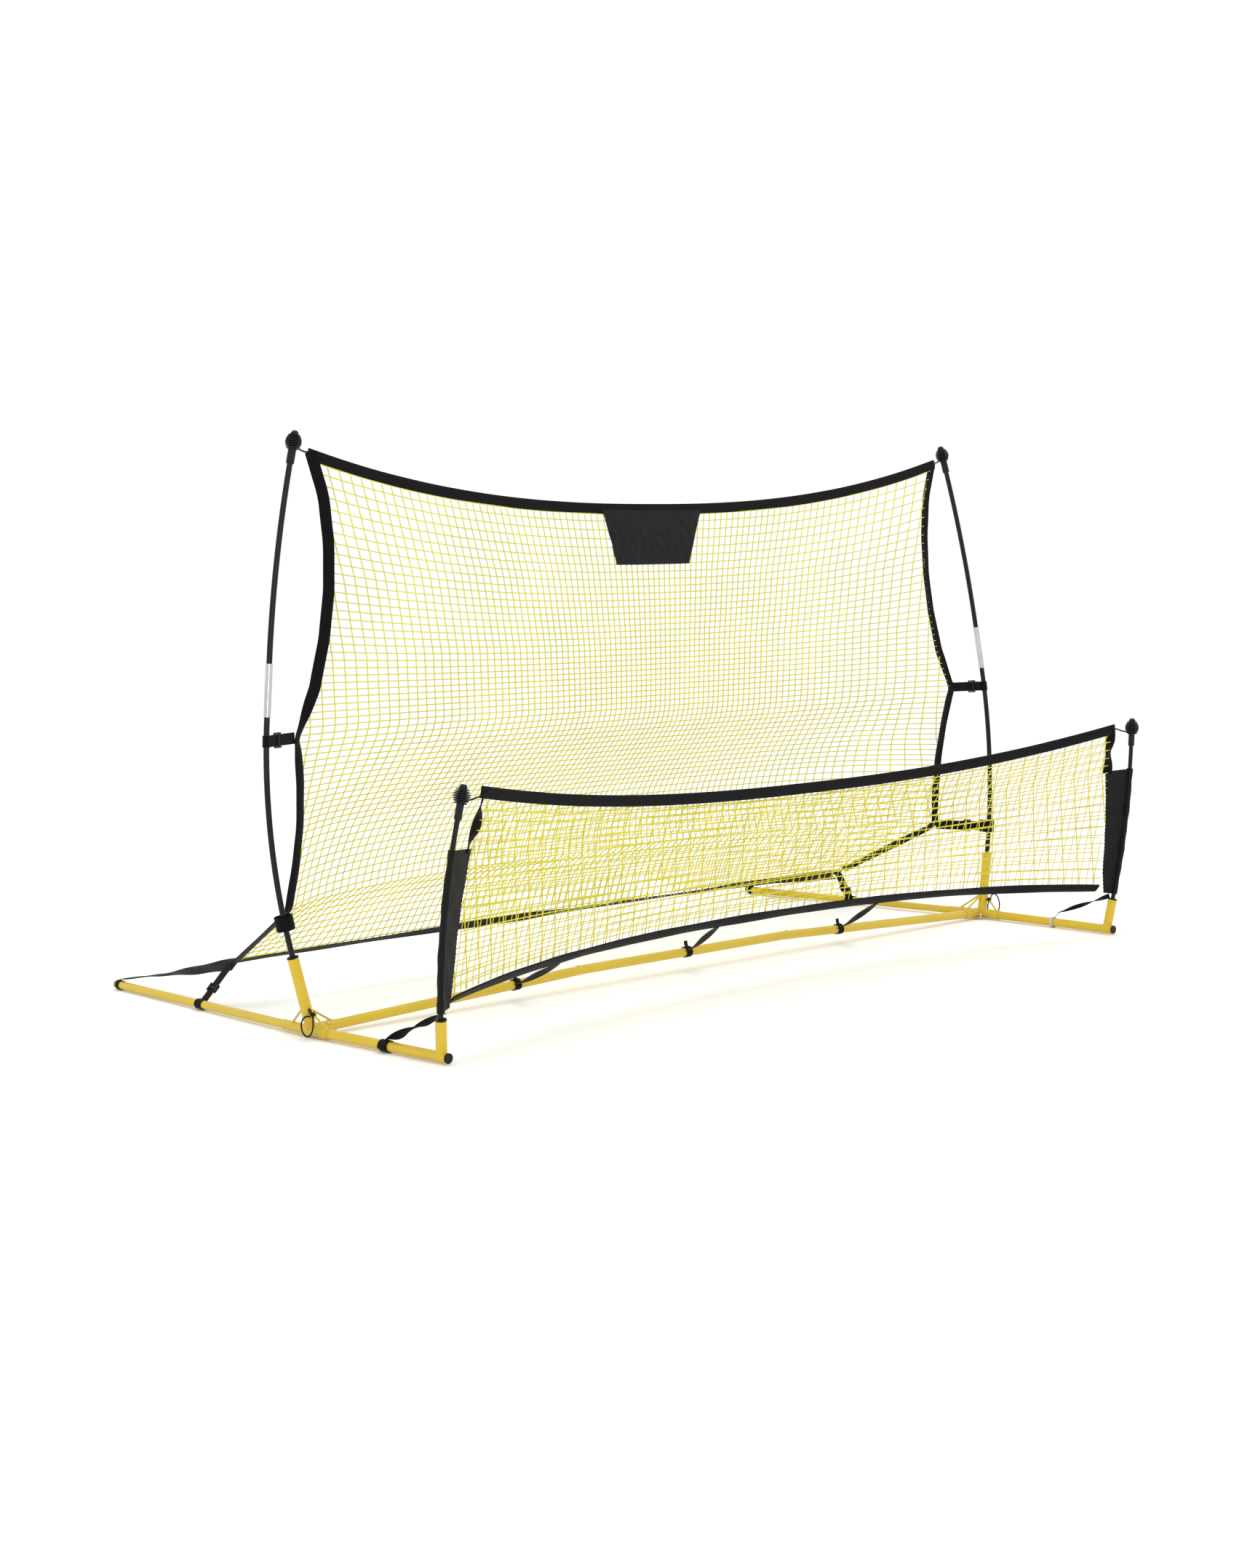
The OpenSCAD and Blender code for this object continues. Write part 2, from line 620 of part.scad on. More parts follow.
// a three-bar slider: two rails, a middle bar above the strap and an end bar below it
buckle_w = band_w + 8;
buckle_len = 20;
buckle_gap = 0.5;
module buckle() {
    half = web_t / 2 + buckle_gap;
    rail = (buckle_w - band_w) / 2 - buckle_gap;
    color("#2b2b2b") {
        for (s = [-1, 1])
            translate([-buckle_len / 2, -half - 2, s > 0 ? band_w / 2 + buckle_gap : -buckle_w / 2])
                cube([buckle_len, 2 * half + 4, rail]);
        for (s = [-1, 1])
            translate([s * (buckle_len / 2 - 1.5) - 1.5, -half - 2, -buckle_w / 2]) cube([3, 2, buckle_w]);
        translate([-2, half, -buckle_w / 2]) cube([4, 2, buckle_w]);
    }
}
mid_buckle_at = 42;
low_buckle_at = 60;
rear_buckle_at = 46;
module mid_buckle() {
    on_strap(mid_pole, edge_mid, mid_dir, mid_buckle_at) buckle();
}
module low_buckle() {
    on_strap(low_pole, edge_low, low_dir, low_buckle_at) buckle();
}
module rear_buckle() {
    on_strap(rear_from, edge_end, foot_along, rear_buckle_at) buckle();
}

// --- tall net and its border ---
module tall_net_sheet() {
    color(netting) at_base() tall_sheet(-1 + tall_a, 1 - tall_a, tall_b, 1 - tall_b, 26, 24, net_t);
}
module top_band() {
    color(black) at_base() tall_sheet(-1, 1, 0, tall_b - cut, 30, 1, net_t);
}
module side_band() {
    color(black) tall_sheet(1 - tall_a + cut, 1, tall_b, 1 - tall_b, 1, 26, net_t);
}
module bottom_band() {
    color(black) at_base() tall_sheet(-1, 1, 1 - tall_b + cut, 1, 24, 1, net_t);
}
panel_b = 1.38 / edge_steps;
module panel() {
    color("#1a1a1a") at_base()
        tall_sheet(-0.16, 0.16, tall_b + cut, tall_b + panel_b, 12, 5, 2, net_t / 2 + 1.6, 0.27);
}
// a tail of webbing from each bottom corner of the tall net to the rear tube's end
tail_end_y = rear_len - 24;
tail_end = [half_w - tail_end_y * tan(rear_toe), tail_end_y, rear_d + 5];
module tail() {
    from = tall_net(1, 1) + [0, 4, -2];
    color(black) sheet([
        [from + [-40, 0, 2], from + [-5, 0, -2]],
        [from * 0.45 + tail_end * 0.55 + [-14, 0, 0], from * 0.45 + tail_end * 0.55 + [8, 0, -2]],
        [tail_end + [-6, 0, 0], tail_end + [6, 0, 0]]], 2.4);
}
module tail_loop() {
    color(black) on_rear_foot() translate([0, 0, tail_end_y / cos(rear_toe) + 5]) loop(rear_d, 12);
}

// --- low net and its border ---
module low_layer(lift) {
    color(netting) at_base()
        low_sheet(-1 + low_a, 1 - low_a, low_b, 1 - low_b, 26, 8, net_t, lift);
}
module low_bands() {
    color(black) {
        at_base() low_sheet(-1, 1, 0, low_b - cut, 30, 1, net_t * 2);
        at_base() low_sheet(-1 + low_a, 1 - low_a, 1 - low_b + cut, 1, 30, 1, net_t * 2);
        for (s = [-1, 1]) mirror([s < 0 ? 1 : 0, 0, 0]) at_base()
            low_sheet(1 - low_a + cut, 1, low_b + cut, low_split - 0.01, 1, 4, net_t);
    }
}
bar_loops = [-585, 0, 585];
function bar_height(x) = joint_z - max(abs(x) - bar_x, 0) * tan(bar_tilt);
module bar_strap(x) {
    a = (x - 165) / half_w;
    top = low_net(a, 1);
    from = [x, 0, bar_height(x)];
    tilt = abs(x) > bar_x ? sign(x) * bar_tilt : 0;
    color(black) {
        strap(toward(from, top, tube_d / 2 + loop_mid + 1), toward(top, from, net_t + 1),
              [1, 0, 0], 14, web_t);
        translate(from) rotate([0, 90 + tilt, 0]) loop(tube_d, 20);
        translate([x - 5, -2, from[2] + tube_d / 2 + loop_t - 0.4]) cube([10, web_t, 16]);
    }
}
foot_loop_at = 250;
foot_top = tube_d / 2 + loop_mid;
low_tie = short_point(sleeve_point(sleeve_from, short_d / 2 + 8)) + [0, 5, -6];
module foot_strap() {
    from = [half_w, -foot_loop_at, foot_z - foot_loop_at * sin(front_drop) + foot_top];
    color(black) {
        strap(from, low_tie, [1, 0, 0], 14, web_t);
        on_front_foot() translate([0, 0, foot_loop_at]) loop(tube_d, band_w);
    }
}
cord_d = 3;
cord_turns = 4;
module tie_cord() {
    on_top = [half_w, -foot_loop_at, foot_z - foot_loop_at * sin(front_drop) + tube_d / 2 + cord_d / 2 + 0.3];
    lift = [-4, -18, 16];
    color("white") {
        for (i = [0 : cord_turns - 1])
            on_front_foot() translate([0, 0, foot_loop_at - i * (cord_d - 0.1)])
                rotate_extrude() translate([tube_d / 2 + cord_d / 2 + 0.3, 0]) circle(d = cord_d, $fn = 24);
        rod(on_top, on_top + lift, cord_d);
    }
    color(black) strap(on_top + lift + [0, -1, 1], low_tie, [1, 0, 0], 14, web_t);
}

// --- elastic loops that hang from a ring on the front brace ---
elastic_d = 3.4;
brace_from = post_top - [0, 0, 8];
ring_at = 0.4;
ring_w = 8;
brace_point = brace_from + (brace_ends[0] - brace_from) * ring_at;
elastic_pts = [[6.6, 0, 0], [9.5, 1, 5], [12, 1, 11], [15, -3, 15], [17, -10, 14], [18, -16, 7],
    [19, -20, -4], [19, -21, -16], [19, -19, -28], [19, -13, -38], [19, -5, -44], [19, 4, -44],
    [19, 12, -39], [19, 17, -30], [19, 18, -19], [18, 14, -9], [15, 8, -3], [11, 3, -2],
    [7.6, 1, -4]];
module elastic_ring() {
    v = brace_ends[0] - brace_from;
    color(black) translate(brace_point)
        rotate([0, acos(v[2] / norm(v)), atan2(v[1], v[0])]) loop(brace_d, ring_w);
}
module elastic_loop() {
    color(black) sweep([for (p = elastic_pts) brace_point + p], elastic_d / 2, 8);
}
// a round cord through the points of a path
module sweep(path, r, sides) {
    n = len(path);
    function dir(i) = let (v = path[min(i + 1, n - 1)] - path[max(i - 1, 0)]) v / norm(v);
    function level(v) = let (c = cross(v, [0.35, 0.1, 0.05] + [1, 0, 0])) c / norm(c);
    pts = [for (i = [0 : n - 1]) let (v = dir(i), a = level(v), b = cross(v, a))
        for (k = [0 : sides - 1]) path[i] + r * (cos(360 * k / sides) * a + sin(360 * k / sides) * b)];
    faces = concat(
        [[for (k = [0 : sides - 1]) k]],
        [[for (k = [0 : sides - 1]) n * sides - 1 - k]],
        [for (i = [0 : n - 2]) for (k = [0 : sides - 1])
            let (a = i * sides + k, b = i * sides + (k + 1) % sides)
            each [[a, a + sides, b + sides], [a, b + sides, b]]]);
    polyhedron(pts, faces);
}

side(-1) corner_fitting();  // left_corner_fitting
side(1) corner_fitting();  // right_corner_fitting
side(-1) rear_tube();  // left_rear_tube
side(1) rear_tube();  // right_rear_tube
side(-1) front_tube();  // left_front_tube
side(1) front_tube();  // right_front_tube
for (s = [-1, 1]) side(s) rear_cap();  // rear_end_caps
for (s = [-1, 1]) side(s) front_cap();  // front_end_caps
side(-1) outer_bar();  // left_crossbar
middle_bar();  // middle_crossbar
side(1) outer_bar();  // right_crossbar
side(-1) pole_socket();  // left_pole_socket
side(1) pole_socket();  // right_pole_socket
for (s = [-1, 1]) side(s) tall_bush();  // tall_socket_bushes
for (s = [-1, 1]) side(s) short_bush();  // short_socket_bushes
side(-1) lower_pole();  // left_lower_pole
side(1) lower_pole();  // right_lower_pole
for (s = [-1, 1]) side(s) ferrule();  // pole_ferrules
side(-1) upper_pole();  // left_upper_pole
side(1) upper_pole();  // right_upper_pole
side(-1) tall_cap();  // left_tall_cap
side(1) tall_cap();  // right_tall_cap
side(-1) short_pole();  // left_short_pole
side(1) short_pole();  // right_short_pole
side(-1) short_cap();  // left_short_cap
side(1) short_cap();  // right_short_cap
side(-1) pole_sleeve();  // left_pole_sleeve
side(1) pole_sleeve();  // right_pole_sleeve
for (s = [-1, 1]) side(s) gusset_bolt();  // gusset_bolts
joint_button(-1);  // left_joint_button
joint_button(1);  // right_joint_button
side(-1) bar_button_place() button(inner_d, sleeve_rise);  // left_bar_button
side(1) bar_button_place() button(inner_d, sleeve_rise);  // right_bar_button
side(-1) foot_button_place() button(inner_d, sleeve_rise);  // left_foot_button
side(1) foot_button_place() button(inner_d, sleeve_rise);  // right_foot_button
side(-1) mid_buckle();  // left_mid_buckle
side(1) mid_buckle();  // right_mid_buckle
side(-1) low_buckle();  // left_low_buckle
side(1) low_buckle();  // right_low_buckle
side(-1) rear_buckle();  // left_rear_buckle
side(1) rear_buckle();  // right_rear_buckle
side(-1) { mid_strap(); low_strap(); }  // left_pole_straps
side(1) { mid_strap(); low_strap(); }  // right_pole_straps
side(-1) rear_strap();  // left_rear_strap
side(1) rear_strap();  // right_rear_strap
tall_net_sheet();  // tall_net
panel();  // target_panel
top_band();  // tall_top_band
for (s = [-1, 1]) side(s) side_band();  // tall_side_bands
bottom_band();  // tall_bottom_band
for (s = [-1, 1]) side(s) { tail(); tail_loop(); }  // corner_tails
low_layer(low_gap);  // front_net_outer
low_layer(-low_gap);  // front_net_inner
low_bands();  // front_net_bands
at_base() for (x = bar_loops) bar_strap(x);  // crossbar_straps
side(-1) foot_strap();  // left_foot_strap
side(1) tie_cord();  // right_tie_cord
for (s = [-1, 1]) side(s) elastic_ring();  // elastic_rings
side(-1) elastic_loop();  // left_elastic_loop
side(1) elastic_loop();  // right_elastic_loop
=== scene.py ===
import math

import bpy
import numpy as np
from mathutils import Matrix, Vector, noise


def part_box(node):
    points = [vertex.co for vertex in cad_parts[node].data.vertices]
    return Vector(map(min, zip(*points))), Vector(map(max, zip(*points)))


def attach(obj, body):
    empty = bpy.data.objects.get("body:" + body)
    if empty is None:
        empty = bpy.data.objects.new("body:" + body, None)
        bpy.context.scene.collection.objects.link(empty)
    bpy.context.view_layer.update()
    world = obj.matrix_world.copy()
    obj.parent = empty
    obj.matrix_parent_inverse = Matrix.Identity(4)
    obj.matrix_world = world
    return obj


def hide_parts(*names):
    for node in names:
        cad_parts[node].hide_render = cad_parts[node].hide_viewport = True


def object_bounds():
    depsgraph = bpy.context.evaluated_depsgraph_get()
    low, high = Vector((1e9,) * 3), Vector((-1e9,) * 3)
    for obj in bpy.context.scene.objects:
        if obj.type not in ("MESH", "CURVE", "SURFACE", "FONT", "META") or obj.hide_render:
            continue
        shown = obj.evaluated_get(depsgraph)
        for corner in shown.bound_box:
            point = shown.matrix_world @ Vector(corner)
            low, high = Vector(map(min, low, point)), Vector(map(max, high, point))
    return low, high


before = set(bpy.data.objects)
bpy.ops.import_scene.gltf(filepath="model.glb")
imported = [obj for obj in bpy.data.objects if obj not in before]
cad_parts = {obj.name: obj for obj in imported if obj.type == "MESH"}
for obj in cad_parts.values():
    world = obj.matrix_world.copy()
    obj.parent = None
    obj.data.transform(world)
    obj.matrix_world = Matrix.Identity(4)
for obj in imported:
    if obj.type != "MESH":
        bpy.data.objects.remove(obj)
cad_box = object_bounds()
MM = 0.001

# The camera's focal length as a share of the picture's width, its place and its aim in degrees
LENS_SHARE = 3843.7 / 1725
CAMERA_X, CAMERA_AHEAD, CAMERA_Z = -5.0141, 5.3662, 1.134
CAMERA_YAW, CAMERA_PITCH = 46.39, 5.70


# ---------------------------------------------------------------- camera


def set_camera():
    """A long lens, low, off the left front corner."""
    data = bpy.data.cameras.new("camera")
    data.sensor_fit = "HORIZONTAL"
    data.sensor_width = 36
    data.lens = LENS_SHARE * 36
    data.clip_end = 60
    cam = bpy.data.objects.new("camera", data)
    bpy.context.scene.collection.objects.link(cam)
    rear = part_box("rear_end_caps")[1].y
    cam.location = (CAMERA_X, rear - CAMERA_AHEAD, CAMERA_Z)
    yaw, pitch = math.radians(CAMERA_YAW), math.radians(CAMERA_PITCH)
    look = Vector((math.sin(yaw) * math.cos(pitch), math.cos(yaw) * math.cos(pitch), -math.sin(pitch)))
    cam.rotation_euler = look.to_track_quat("-Z", "Y").to_euler()
    bpy.context.scene.camera = cam


set_camera()


# ---------------------------------------------------------------- shader words


class Value:
    """A number on its way through a material; arithmetic on it adds Math nodes."""

    def __init__(self, paint, socket):
        self.paint, self.socket = paint, socket

    def _math(self, operation, a, b=None):
        return self.paint.node("ShaderNodeMath", {"operation": operation}, [a] if b is None else [a, b])

    def __add__(self, other):
        return self._math("ADD", self, other)

    __radd__ = __add__

    def __sub__(self, other):
        return self._math("SUBTRACT", self, other)

    def __rsub__(self, other):
        return self._math("SUBTRACT", other, self)

    def __mul__(self, other):
        return self._math("MULTIPLY", self, other)

    __rmul__ = __mul__

    def above(self, edge):
        return self._math("GREATER_THAN", self, edge)


class Paint:
    """A material and the one way its nodes are made."""

    def __init__(self, name, **constants):
        self.material = bpy.data.materials.new(name)
        self.material.use_nodes = True
        self.tree = self.material.node_tree
        self.shader = self.tree.nodes["Principled BSDF"]
        for socket, value in constants.items():
            self.shader.inputs[socket.replace("_", " ")].default_value = value

    def node(self, kind, settings=None, inputs=(), out=0):
        made = self.tree.nodes.new(kind)
        for key, value in (settings or {}).items():
            setattr(made, key, value)
        pairs = inputs.items() if isinstance(inputs, dict) else enumerate(inputs)
        for key, value in pairs:
            self.join(made.inputs[key], value)
        return Value(self, made.outputs[out])

    def join(self, socket, value):
        if isinstance(value, Value):
            self.tree.links.new(value.socket, socket)
        else:
            socket.default_value = value

    def feed(self, **channels):
        for name, value in channels.items():
            self.join(self.shader.inputs[name.replace("_", " ")], value)

    def place(self):
        return self.node("ShaderNodeTexCoord", out="Object")

    def cloth_place(self):
        return self.node("ShaderNodeTexCoord", out="UV")

    def grain(self, where, scale, detail=3.0, rough=0.5):
        inputs = {"Vector": where, "Scale": scale, "Detail": detail, "Roughness": rough}
        return self.node("ShaderNodeTexNoise", {}, inputs)

    def stretch(self, where, scale):
        return self.node("ShaderNodeMapping", {}, {"Vector": where, "Scale": scale})

    def span(self, value, low, high, to_low=0.0, to_high=1.0):
        return self.node("ShaderNodeMapRange", {}, [value, low, high, to_low, to_high])

    def split(self, vector, axis):
        return self.node("ShaderNodeSeparateXYZ", {}, [vector], out=axis)

    def blend(self, amount, first, second):
        """A mix of two colours; each is three numbers or another node's colour."""
        first, second = ((*c, 1) if isinstance(c, tuple) else c for c in (first, second))
        return self.node("ShaderNodeMix", {"data_type": "RGBA"}, {0: amount, 6: first, 7: second}, out=2)

    def bump(self, height, strength, distance):
        return self.node("ShaderNodeBump", {}, {"Strength": strength, "Distance": distance, "Height": height})

    def ribs(self, along, pitch):
        """A rounded rib every pitch metres of a coordinate, from 0 to 1."""
        return self.node("ShaderNodeMath", {"operation": "SINE"}, [along * (2 * math.pi / pitch)]) * 0.5 + 0.5


# ---------------------------------------------------------------- finishes


def powder_coat():
    """Yellow polyester powder on steel: orange peel, faint mottling, small scuffs."""
    p = Paint("powder_coat_yellow", Specular_IOR_Level=0.4, Coat_Weight=0.2, Coat_Roughness=0.14)
    at = p.place()
    cloud = p.grain(at, 9, 4)
    speck = p.grain(at, 420, 2)
    scuff = p.span(p.grain(at, 38, 6, 0.7), 0.66, 0.74)
    base = p.blend(cloud, (0.66, 0.46, 0.020), (0.58, 0.40, 0.014))
    p.feed(Base_Color=p.blend(scuff * 0.35, base, (0.48, 0.31, 0.03)),
           Roughness=p.span(cloud, 0.3, 0.7, 0.30, 0.40) + scuff * 0.15,
           Normal=p.bump(speck, 0.10, 0.0006))
    return p.material


def pole_gloss():
    """Black resin over drawn glass fibre: long faint streaks along the rod."""
    p = Paint("glass_fibre_black", Specular_IOR_Level=0.16, Coat_Weight=0.10, Coat_Roughness=0.08)
    at = p.place()
    streak = p.grain(p.stretch(at, (1, 1, 0.03)), 700.0)
    dust = p.grain(at, 60, 5, 0.65)
    p.feed(Base_Color=p.blend(streak, (0.004, 0.004, 0.0045), (0.010, 0.010, 0.011)),
           Roughness=p.span(dust, 0.35, 0.7, 0.14, 0.26),
           Normal=p.bump(streak, 0.08, 0.0003))
    return p.material


def polished_steel():
    """Bright drawn tube: fine rings across it, faint smears."""
    p = Paint("polished_ferrule", Metallic=1.0)
    at = p.place()
    ring = p.grain(p.stretch(at, (0.05, 0.05, 1)), 1600.0, 2.0)
    smear = p.grain(at, 45, 4)
    p.feed(Base_Color=p.blend(smear, (0.62, 0.63, 0.65), (0.44, 0.45, 0.48)),
           Roughness=p.span(smear, 0.3, 0.7, 0.07, 0.16),
           Normal=p.bump(ring, 0.02, 0.0001))
    return p.material


def zinc():
    """Zinc plate with a fine spangle."""
    p = Paint("zinc_plate", Metallic=1.0)
    at = p.place()
    spangle = p.node("ShaderNodeTexVoronoi", {}, {"Vector": at, "Scale": 900.0}, out="Color")
    p.feed(Base_Color=p.blend(p.split(spangle, "X"), (0.62, 0.63, 0.65), (0.50, 0.51, 0.54)),
           Roughness=p.span(p.grain(at, 300), 0.3, 0.7, 0.26, 0.42),
           Normal=p.bump(p.grain(at, 1400), 0.08, 0.0002))
    return p.material


def moulded_black(name="moulded_black", shade=0.007):
    """Moulded black plastic or rubber, pebbled and a little rubbed."""
    p = Paint(name, Specular_IOR_Level=0.18)
    at = p.place()
    pebble = p.node("ShaderNodeTexVoronoi", {"feature": "SMOOTH_F1"}, {"Vector": at, "Scale": 1100.0},
                    out="Distance")
    rub = p.grain(at, 70, 5, 0.6)
    p.feed(Base_Color=p.blend(rub, (shade, shade, shade * 1.05), (shade * 1.8, shade * 1.8, shade * 1.85)),
           Roughness=p.span(rub, 0.3, 0.7, 0.36, 0.55),
           Normal=p.bump(pebble, 0.18, 0.0003))
    return p.material


def webbing():
    """Flat woven tape: a row of ribs across it, a warp line along it and a sewn line near each edge."""
    shade, edge, inset = 0.003, 12.5 * MM, 2.6 * MM
    p = Paint("woven_webbing", Sheen_Weight=0.03, Sheen_Roughness=0.5, Specular_IOR_Level=0.06)
    cloth = p.cloth_place()
    along, across = p.split(cloth, "X"), p.split(cloth, "Y")
    weave = p.ribs(along, 1.7 * MM) * 0.6 + p.ribs(across, 2.4 * MM) * 0.4
    dirt = p.grain(p.place(), 35, 5, 0.6)
    centre = p.node("ShaderNodeMath", {"operation": "ABSOLUTE"}, [across])
    off = p.node("ShaderNodeMath", {"operation": "ABSOLUTE"}, [centre - (edge - inset)])
    seam = 1 - off.above(0.5 * MM)
    thread = seam * p.ribs(along, 3.4 * MM).above(0.35)
    tone = p.blend(dirt, (shade, shade, shade * 1.04), (shade * 1.7, shade * 1.7, shade * 1.75))
    p.feed(Base_Color=p.blend(thread * 0.6, tone, (shade * 2.8, shade * 2.8, shade * 2.9)),
           Roughness=p.span(weave, 0.0, 1.0, 0.62, 0.50) + dirt * 0.1,
           Normal=p.bump(weave - seam * 0.5 + thread * 0.9, 0.5, 0.00045))
    return p.material


def sleeve_cloth(name):
    """Plain weave polyester with a dull coating, creased; the crease hollows are painted darker and the ridges
    lighter as shade.
    """
    shade = 0.003
    p = Paint(name, Sheen_Weight=0.02, Sheen_Roughness=0.45, Specular_IOR_Level=0.14)
    cloth = p.cloth_place()
    weave = p.ribs(p.split(cloth, "X"), 0.9 * MM) * p.ribs(p.split(cloth, "Y"), 0.9 * MM)
    crease = p.grain(p.place(), 28, 6, 0.62)
    fine = p.grain(p.place(), 130, 4, 0.55)
    # Painted shade: the colour follows the crease height, darker in the hollows and lighter on the ridges
    p.feed(Base_Color=p.blend(crease, (shade, shade, shade * 1.05), (shade * 1.9, shade * 1.9, shade * 2)),
           Roughness=p.span(crease, 0.3, 0.7, 0.42, 0.62),
           Normal=p.bump(crease * 1.0 + fine * 0.25 + weave * 0.05, 0.65, 0.004))
    return p.material


def netting(name, light, dark):
    """Polyethylene twine with a rough twist, faded in patches."""
    p = Paint(name, Specular_IOR_Level=0.15)
    at = p.place()
    twist = p.grain(at, 900, 2)
    fade = p.grain(at, 6, 3)
    p.feed(Base_Color=p.blend(p.span(fade, 0.35, 0.65), light, dark),
           Roughness=p.span(twist, 0.3, 0.7, 0.42, 0.58),
           Normal=p.bump(twist, 0.3, 0.0005))
    return p.material


def braid(name, light, dark):
    """Braided sheath of a round cord, with painted shade in the grooves between its strands."""
    pitch = 2.2 * MM
    p = Paint(name, Sheen_Weight=0.03, Specular_IOR_Level=0.12)
    cloth = p.cloth_place()
    u, v = p.split(cloth, "X"), p.split(cloth, "Y")
    left, right = p.ribs(u + v, pitch), p.ribs(u - v, pitch)
    plait = left * right
    # Painted shade: the colour follows the plait's relief, dark in the grooves and light on the crowns
    p.feed(Base_Color=p.blend(plait, dark, light),
           Roughness=p.span(plait, 0, 1, 0.7, 0.5),
           Normal=p.bump(plait, 0.5, 0.0006))
    return p.material


YELLOW = powder_coat()
POLE = pole_gloss()
STEEL = polished_steel()
ZINC = zinc()
PLASTIC = moulded_black()
BUSH = moulded_black("bush_rubber", 0.005)
WEB = webbing()
# Both cloths carry painted shade in their crease hollows
CLOTH = sleeve_cloth("coated_cloth")
PANEL = sleeve_cloth("panel_cloth")
TWINE = netting("twine_yellow", (0.70, 0.66, 0.065), (0.62, 0.58, 0.050))
HEAVY_TWINE = netting("heavy_twine_yellow", (0.72, 0.62, 0.055), (0.64, 0.55, 0.040))
# Each cord's second colour is the painted shade in its braid's grooves
ELASTIC = braid("elastic_black", (0.012, 0.012, 0.013), (0.004, 0.004, 0.004))
CORD = braid("cord_white", (0.80, 0.80, 0.77), (0.45, 0.45, 0.42))


# ---------------------------------------------------------------- mesh makers


def link(name, points, quads, uvs, material, sharp=None):
    """One smooth-shaded object from points and quads; sharp is the angle in degrees that stays an edge."""
    mesh = bpy.data.meshes.new(name)
    points = np.asarray(points, np.float32)
    quads = np.asarray(quads, np.int32)
    mesh.vertices.add(len(points))
    mesh.vertices.foreach_set("co", points.ravel())
    sides = quads.shape[1]
    mesh.loops.add(quads.size)
    mesh.loops.foreach_set("vertex_index", quads.ravel())
    mesh.polygons.add(len(quads))
    mesh.polygons.foreach_set("loop_start", np.arange(0, quads.size, sides, dtype=np.int32))
    mesh.update(calc_edges=True)
    layer = mesh.uv_layers.new(name="cloth")
    layer.data.foreach_set("uv", np.asarray(uvs, np.float32)[quads.ravel()].ravel())
    mesh.validate()
    mesh.shade_smooth()
    if sharp:
        mesh.set_sharp_from_angle(angle=math.radians(sharp))
    mesh.materials.append(material)
    made = bpy.data.objects.new(name, mesh)
    bpy.context.scene.collection.objects.link(made)
    return made


def unit(v):
    v = np.asarray(v, float)
    return v / np.maximum(np.linalg.norm(v, axis=-1, keepdims=True), 1e-12)


def run_length(line):
    """The distance along a line at each of its points, from 0."""
    return np.concatenate([[0], np.cumsum(np.linalg.norm(np.diff(line, axis=0), axis=1))])


def surface_area(grid):
    """The area of a grid of points, cell by cell."""
    along, across = grid[1:, :-1] - grid[:-1, :-1], grid[:-1, 1:] - grid[:-1, :-1]
    return float(np.linalg.norm(np.cross(along, across), axis=-1).sum())


def sheet_parts(grid, thick):
    """Points, quads and cloth coordinates of a closed sheet over a grid of points."""
    grid = np.asarray(grid, float)
    m, n = grid.shape[:2]
    lift = unit(np.cross(np.gradient(grid, axis=0), np.gradient(grid, axis=1))) * (thick / 2)
    points = np.concatenate([(grid + lift).reshape(-1, 3), (grid - lift).reshape(-1, 3)])
    u, v = run_length(grid[:, n // 2]), run_length(grid[m // 2])
    v -= v[-1] / 2
    uv = np.stack(np.meshgrid(u, v, indexing="ij"), -1).reshape(-1, 2)
    i, j = np.meshgrid(np.arange(m - 1), np.arange(n - 1), indexing="ij")
    a = (i * n + j).ravel()
    top = np.stack([a, a + n, a + n + 1, a + 1], 1)
    k = m * n
    rim = np.concatenate([np.arange(n), np.arange(1, m) * n + n - 1, (m - 1) * n + n - 1 - np.arange(1, n),
                          (m - 1 - np.arange(1, m - 1)) * n])
    nxt = np.roll(rim, -1)
    side = np.stack([rim, nxt, nxt + k, rim + k], 1)
    quads = np.concatenate([top, top[:, ::-1] + k, side])
    return points, quads, np.concatenate([uv, uv])


def cloth(name, grid, thick, material):
    return link(name, *sheet_parts(grid, thick), material, sharp=50)


def tubes(name, paths, radius, sides, material):
    """One object of round tubes along many paths, each drawn in a little at its ends."""
    points, quads, uvs, start = [], [], [], 0
    turn = np.arange(sides) * 2 * math.pi / sides
    for path in paths:
        path = np.asarray(path, float)
        m = len(path)
        t = unit(np.gradient(path, axis=0))
        a = np.cross(t, (0.0, 1.0, 0.0))
        weak = np.linalg.norm(a, axis=1) < 0.15
        a[weak] = np.cross(t[weak], (1.0, 0.2, 0.1))
        a = unit(a)
        b = np.cross(t, a)
        r = np.full(m, radius)
        r[0] = r[-1] = radius * 0.6
        around = np.cos(turn)[None, :, None] * a[:, None] + np.sin(turn)[None, :, None] * b[:, None]
        points.append((path[:, None] + r[:, None, None] * around).reshape(-1, 3))
        i, j = np.meshgrid(np.arange(m - 1), np.arange(sides), indexing="ij")
        here, beside = i * sides + j, i * sides + (j + 1) % sides
        quads.append(start + np.stack([here, beside, beside + sides, here + sides], -1).reshape(-1, 4))
        uvs.append(np.stack(np.meshgrid(run_length(path), turn * radius, indexing="ij"), -1).reshape(-1, 2))
        start += m * sides
    return link(name, np.concatenate(points), np.concatenate(quads), np.concatenate(uvs), material)


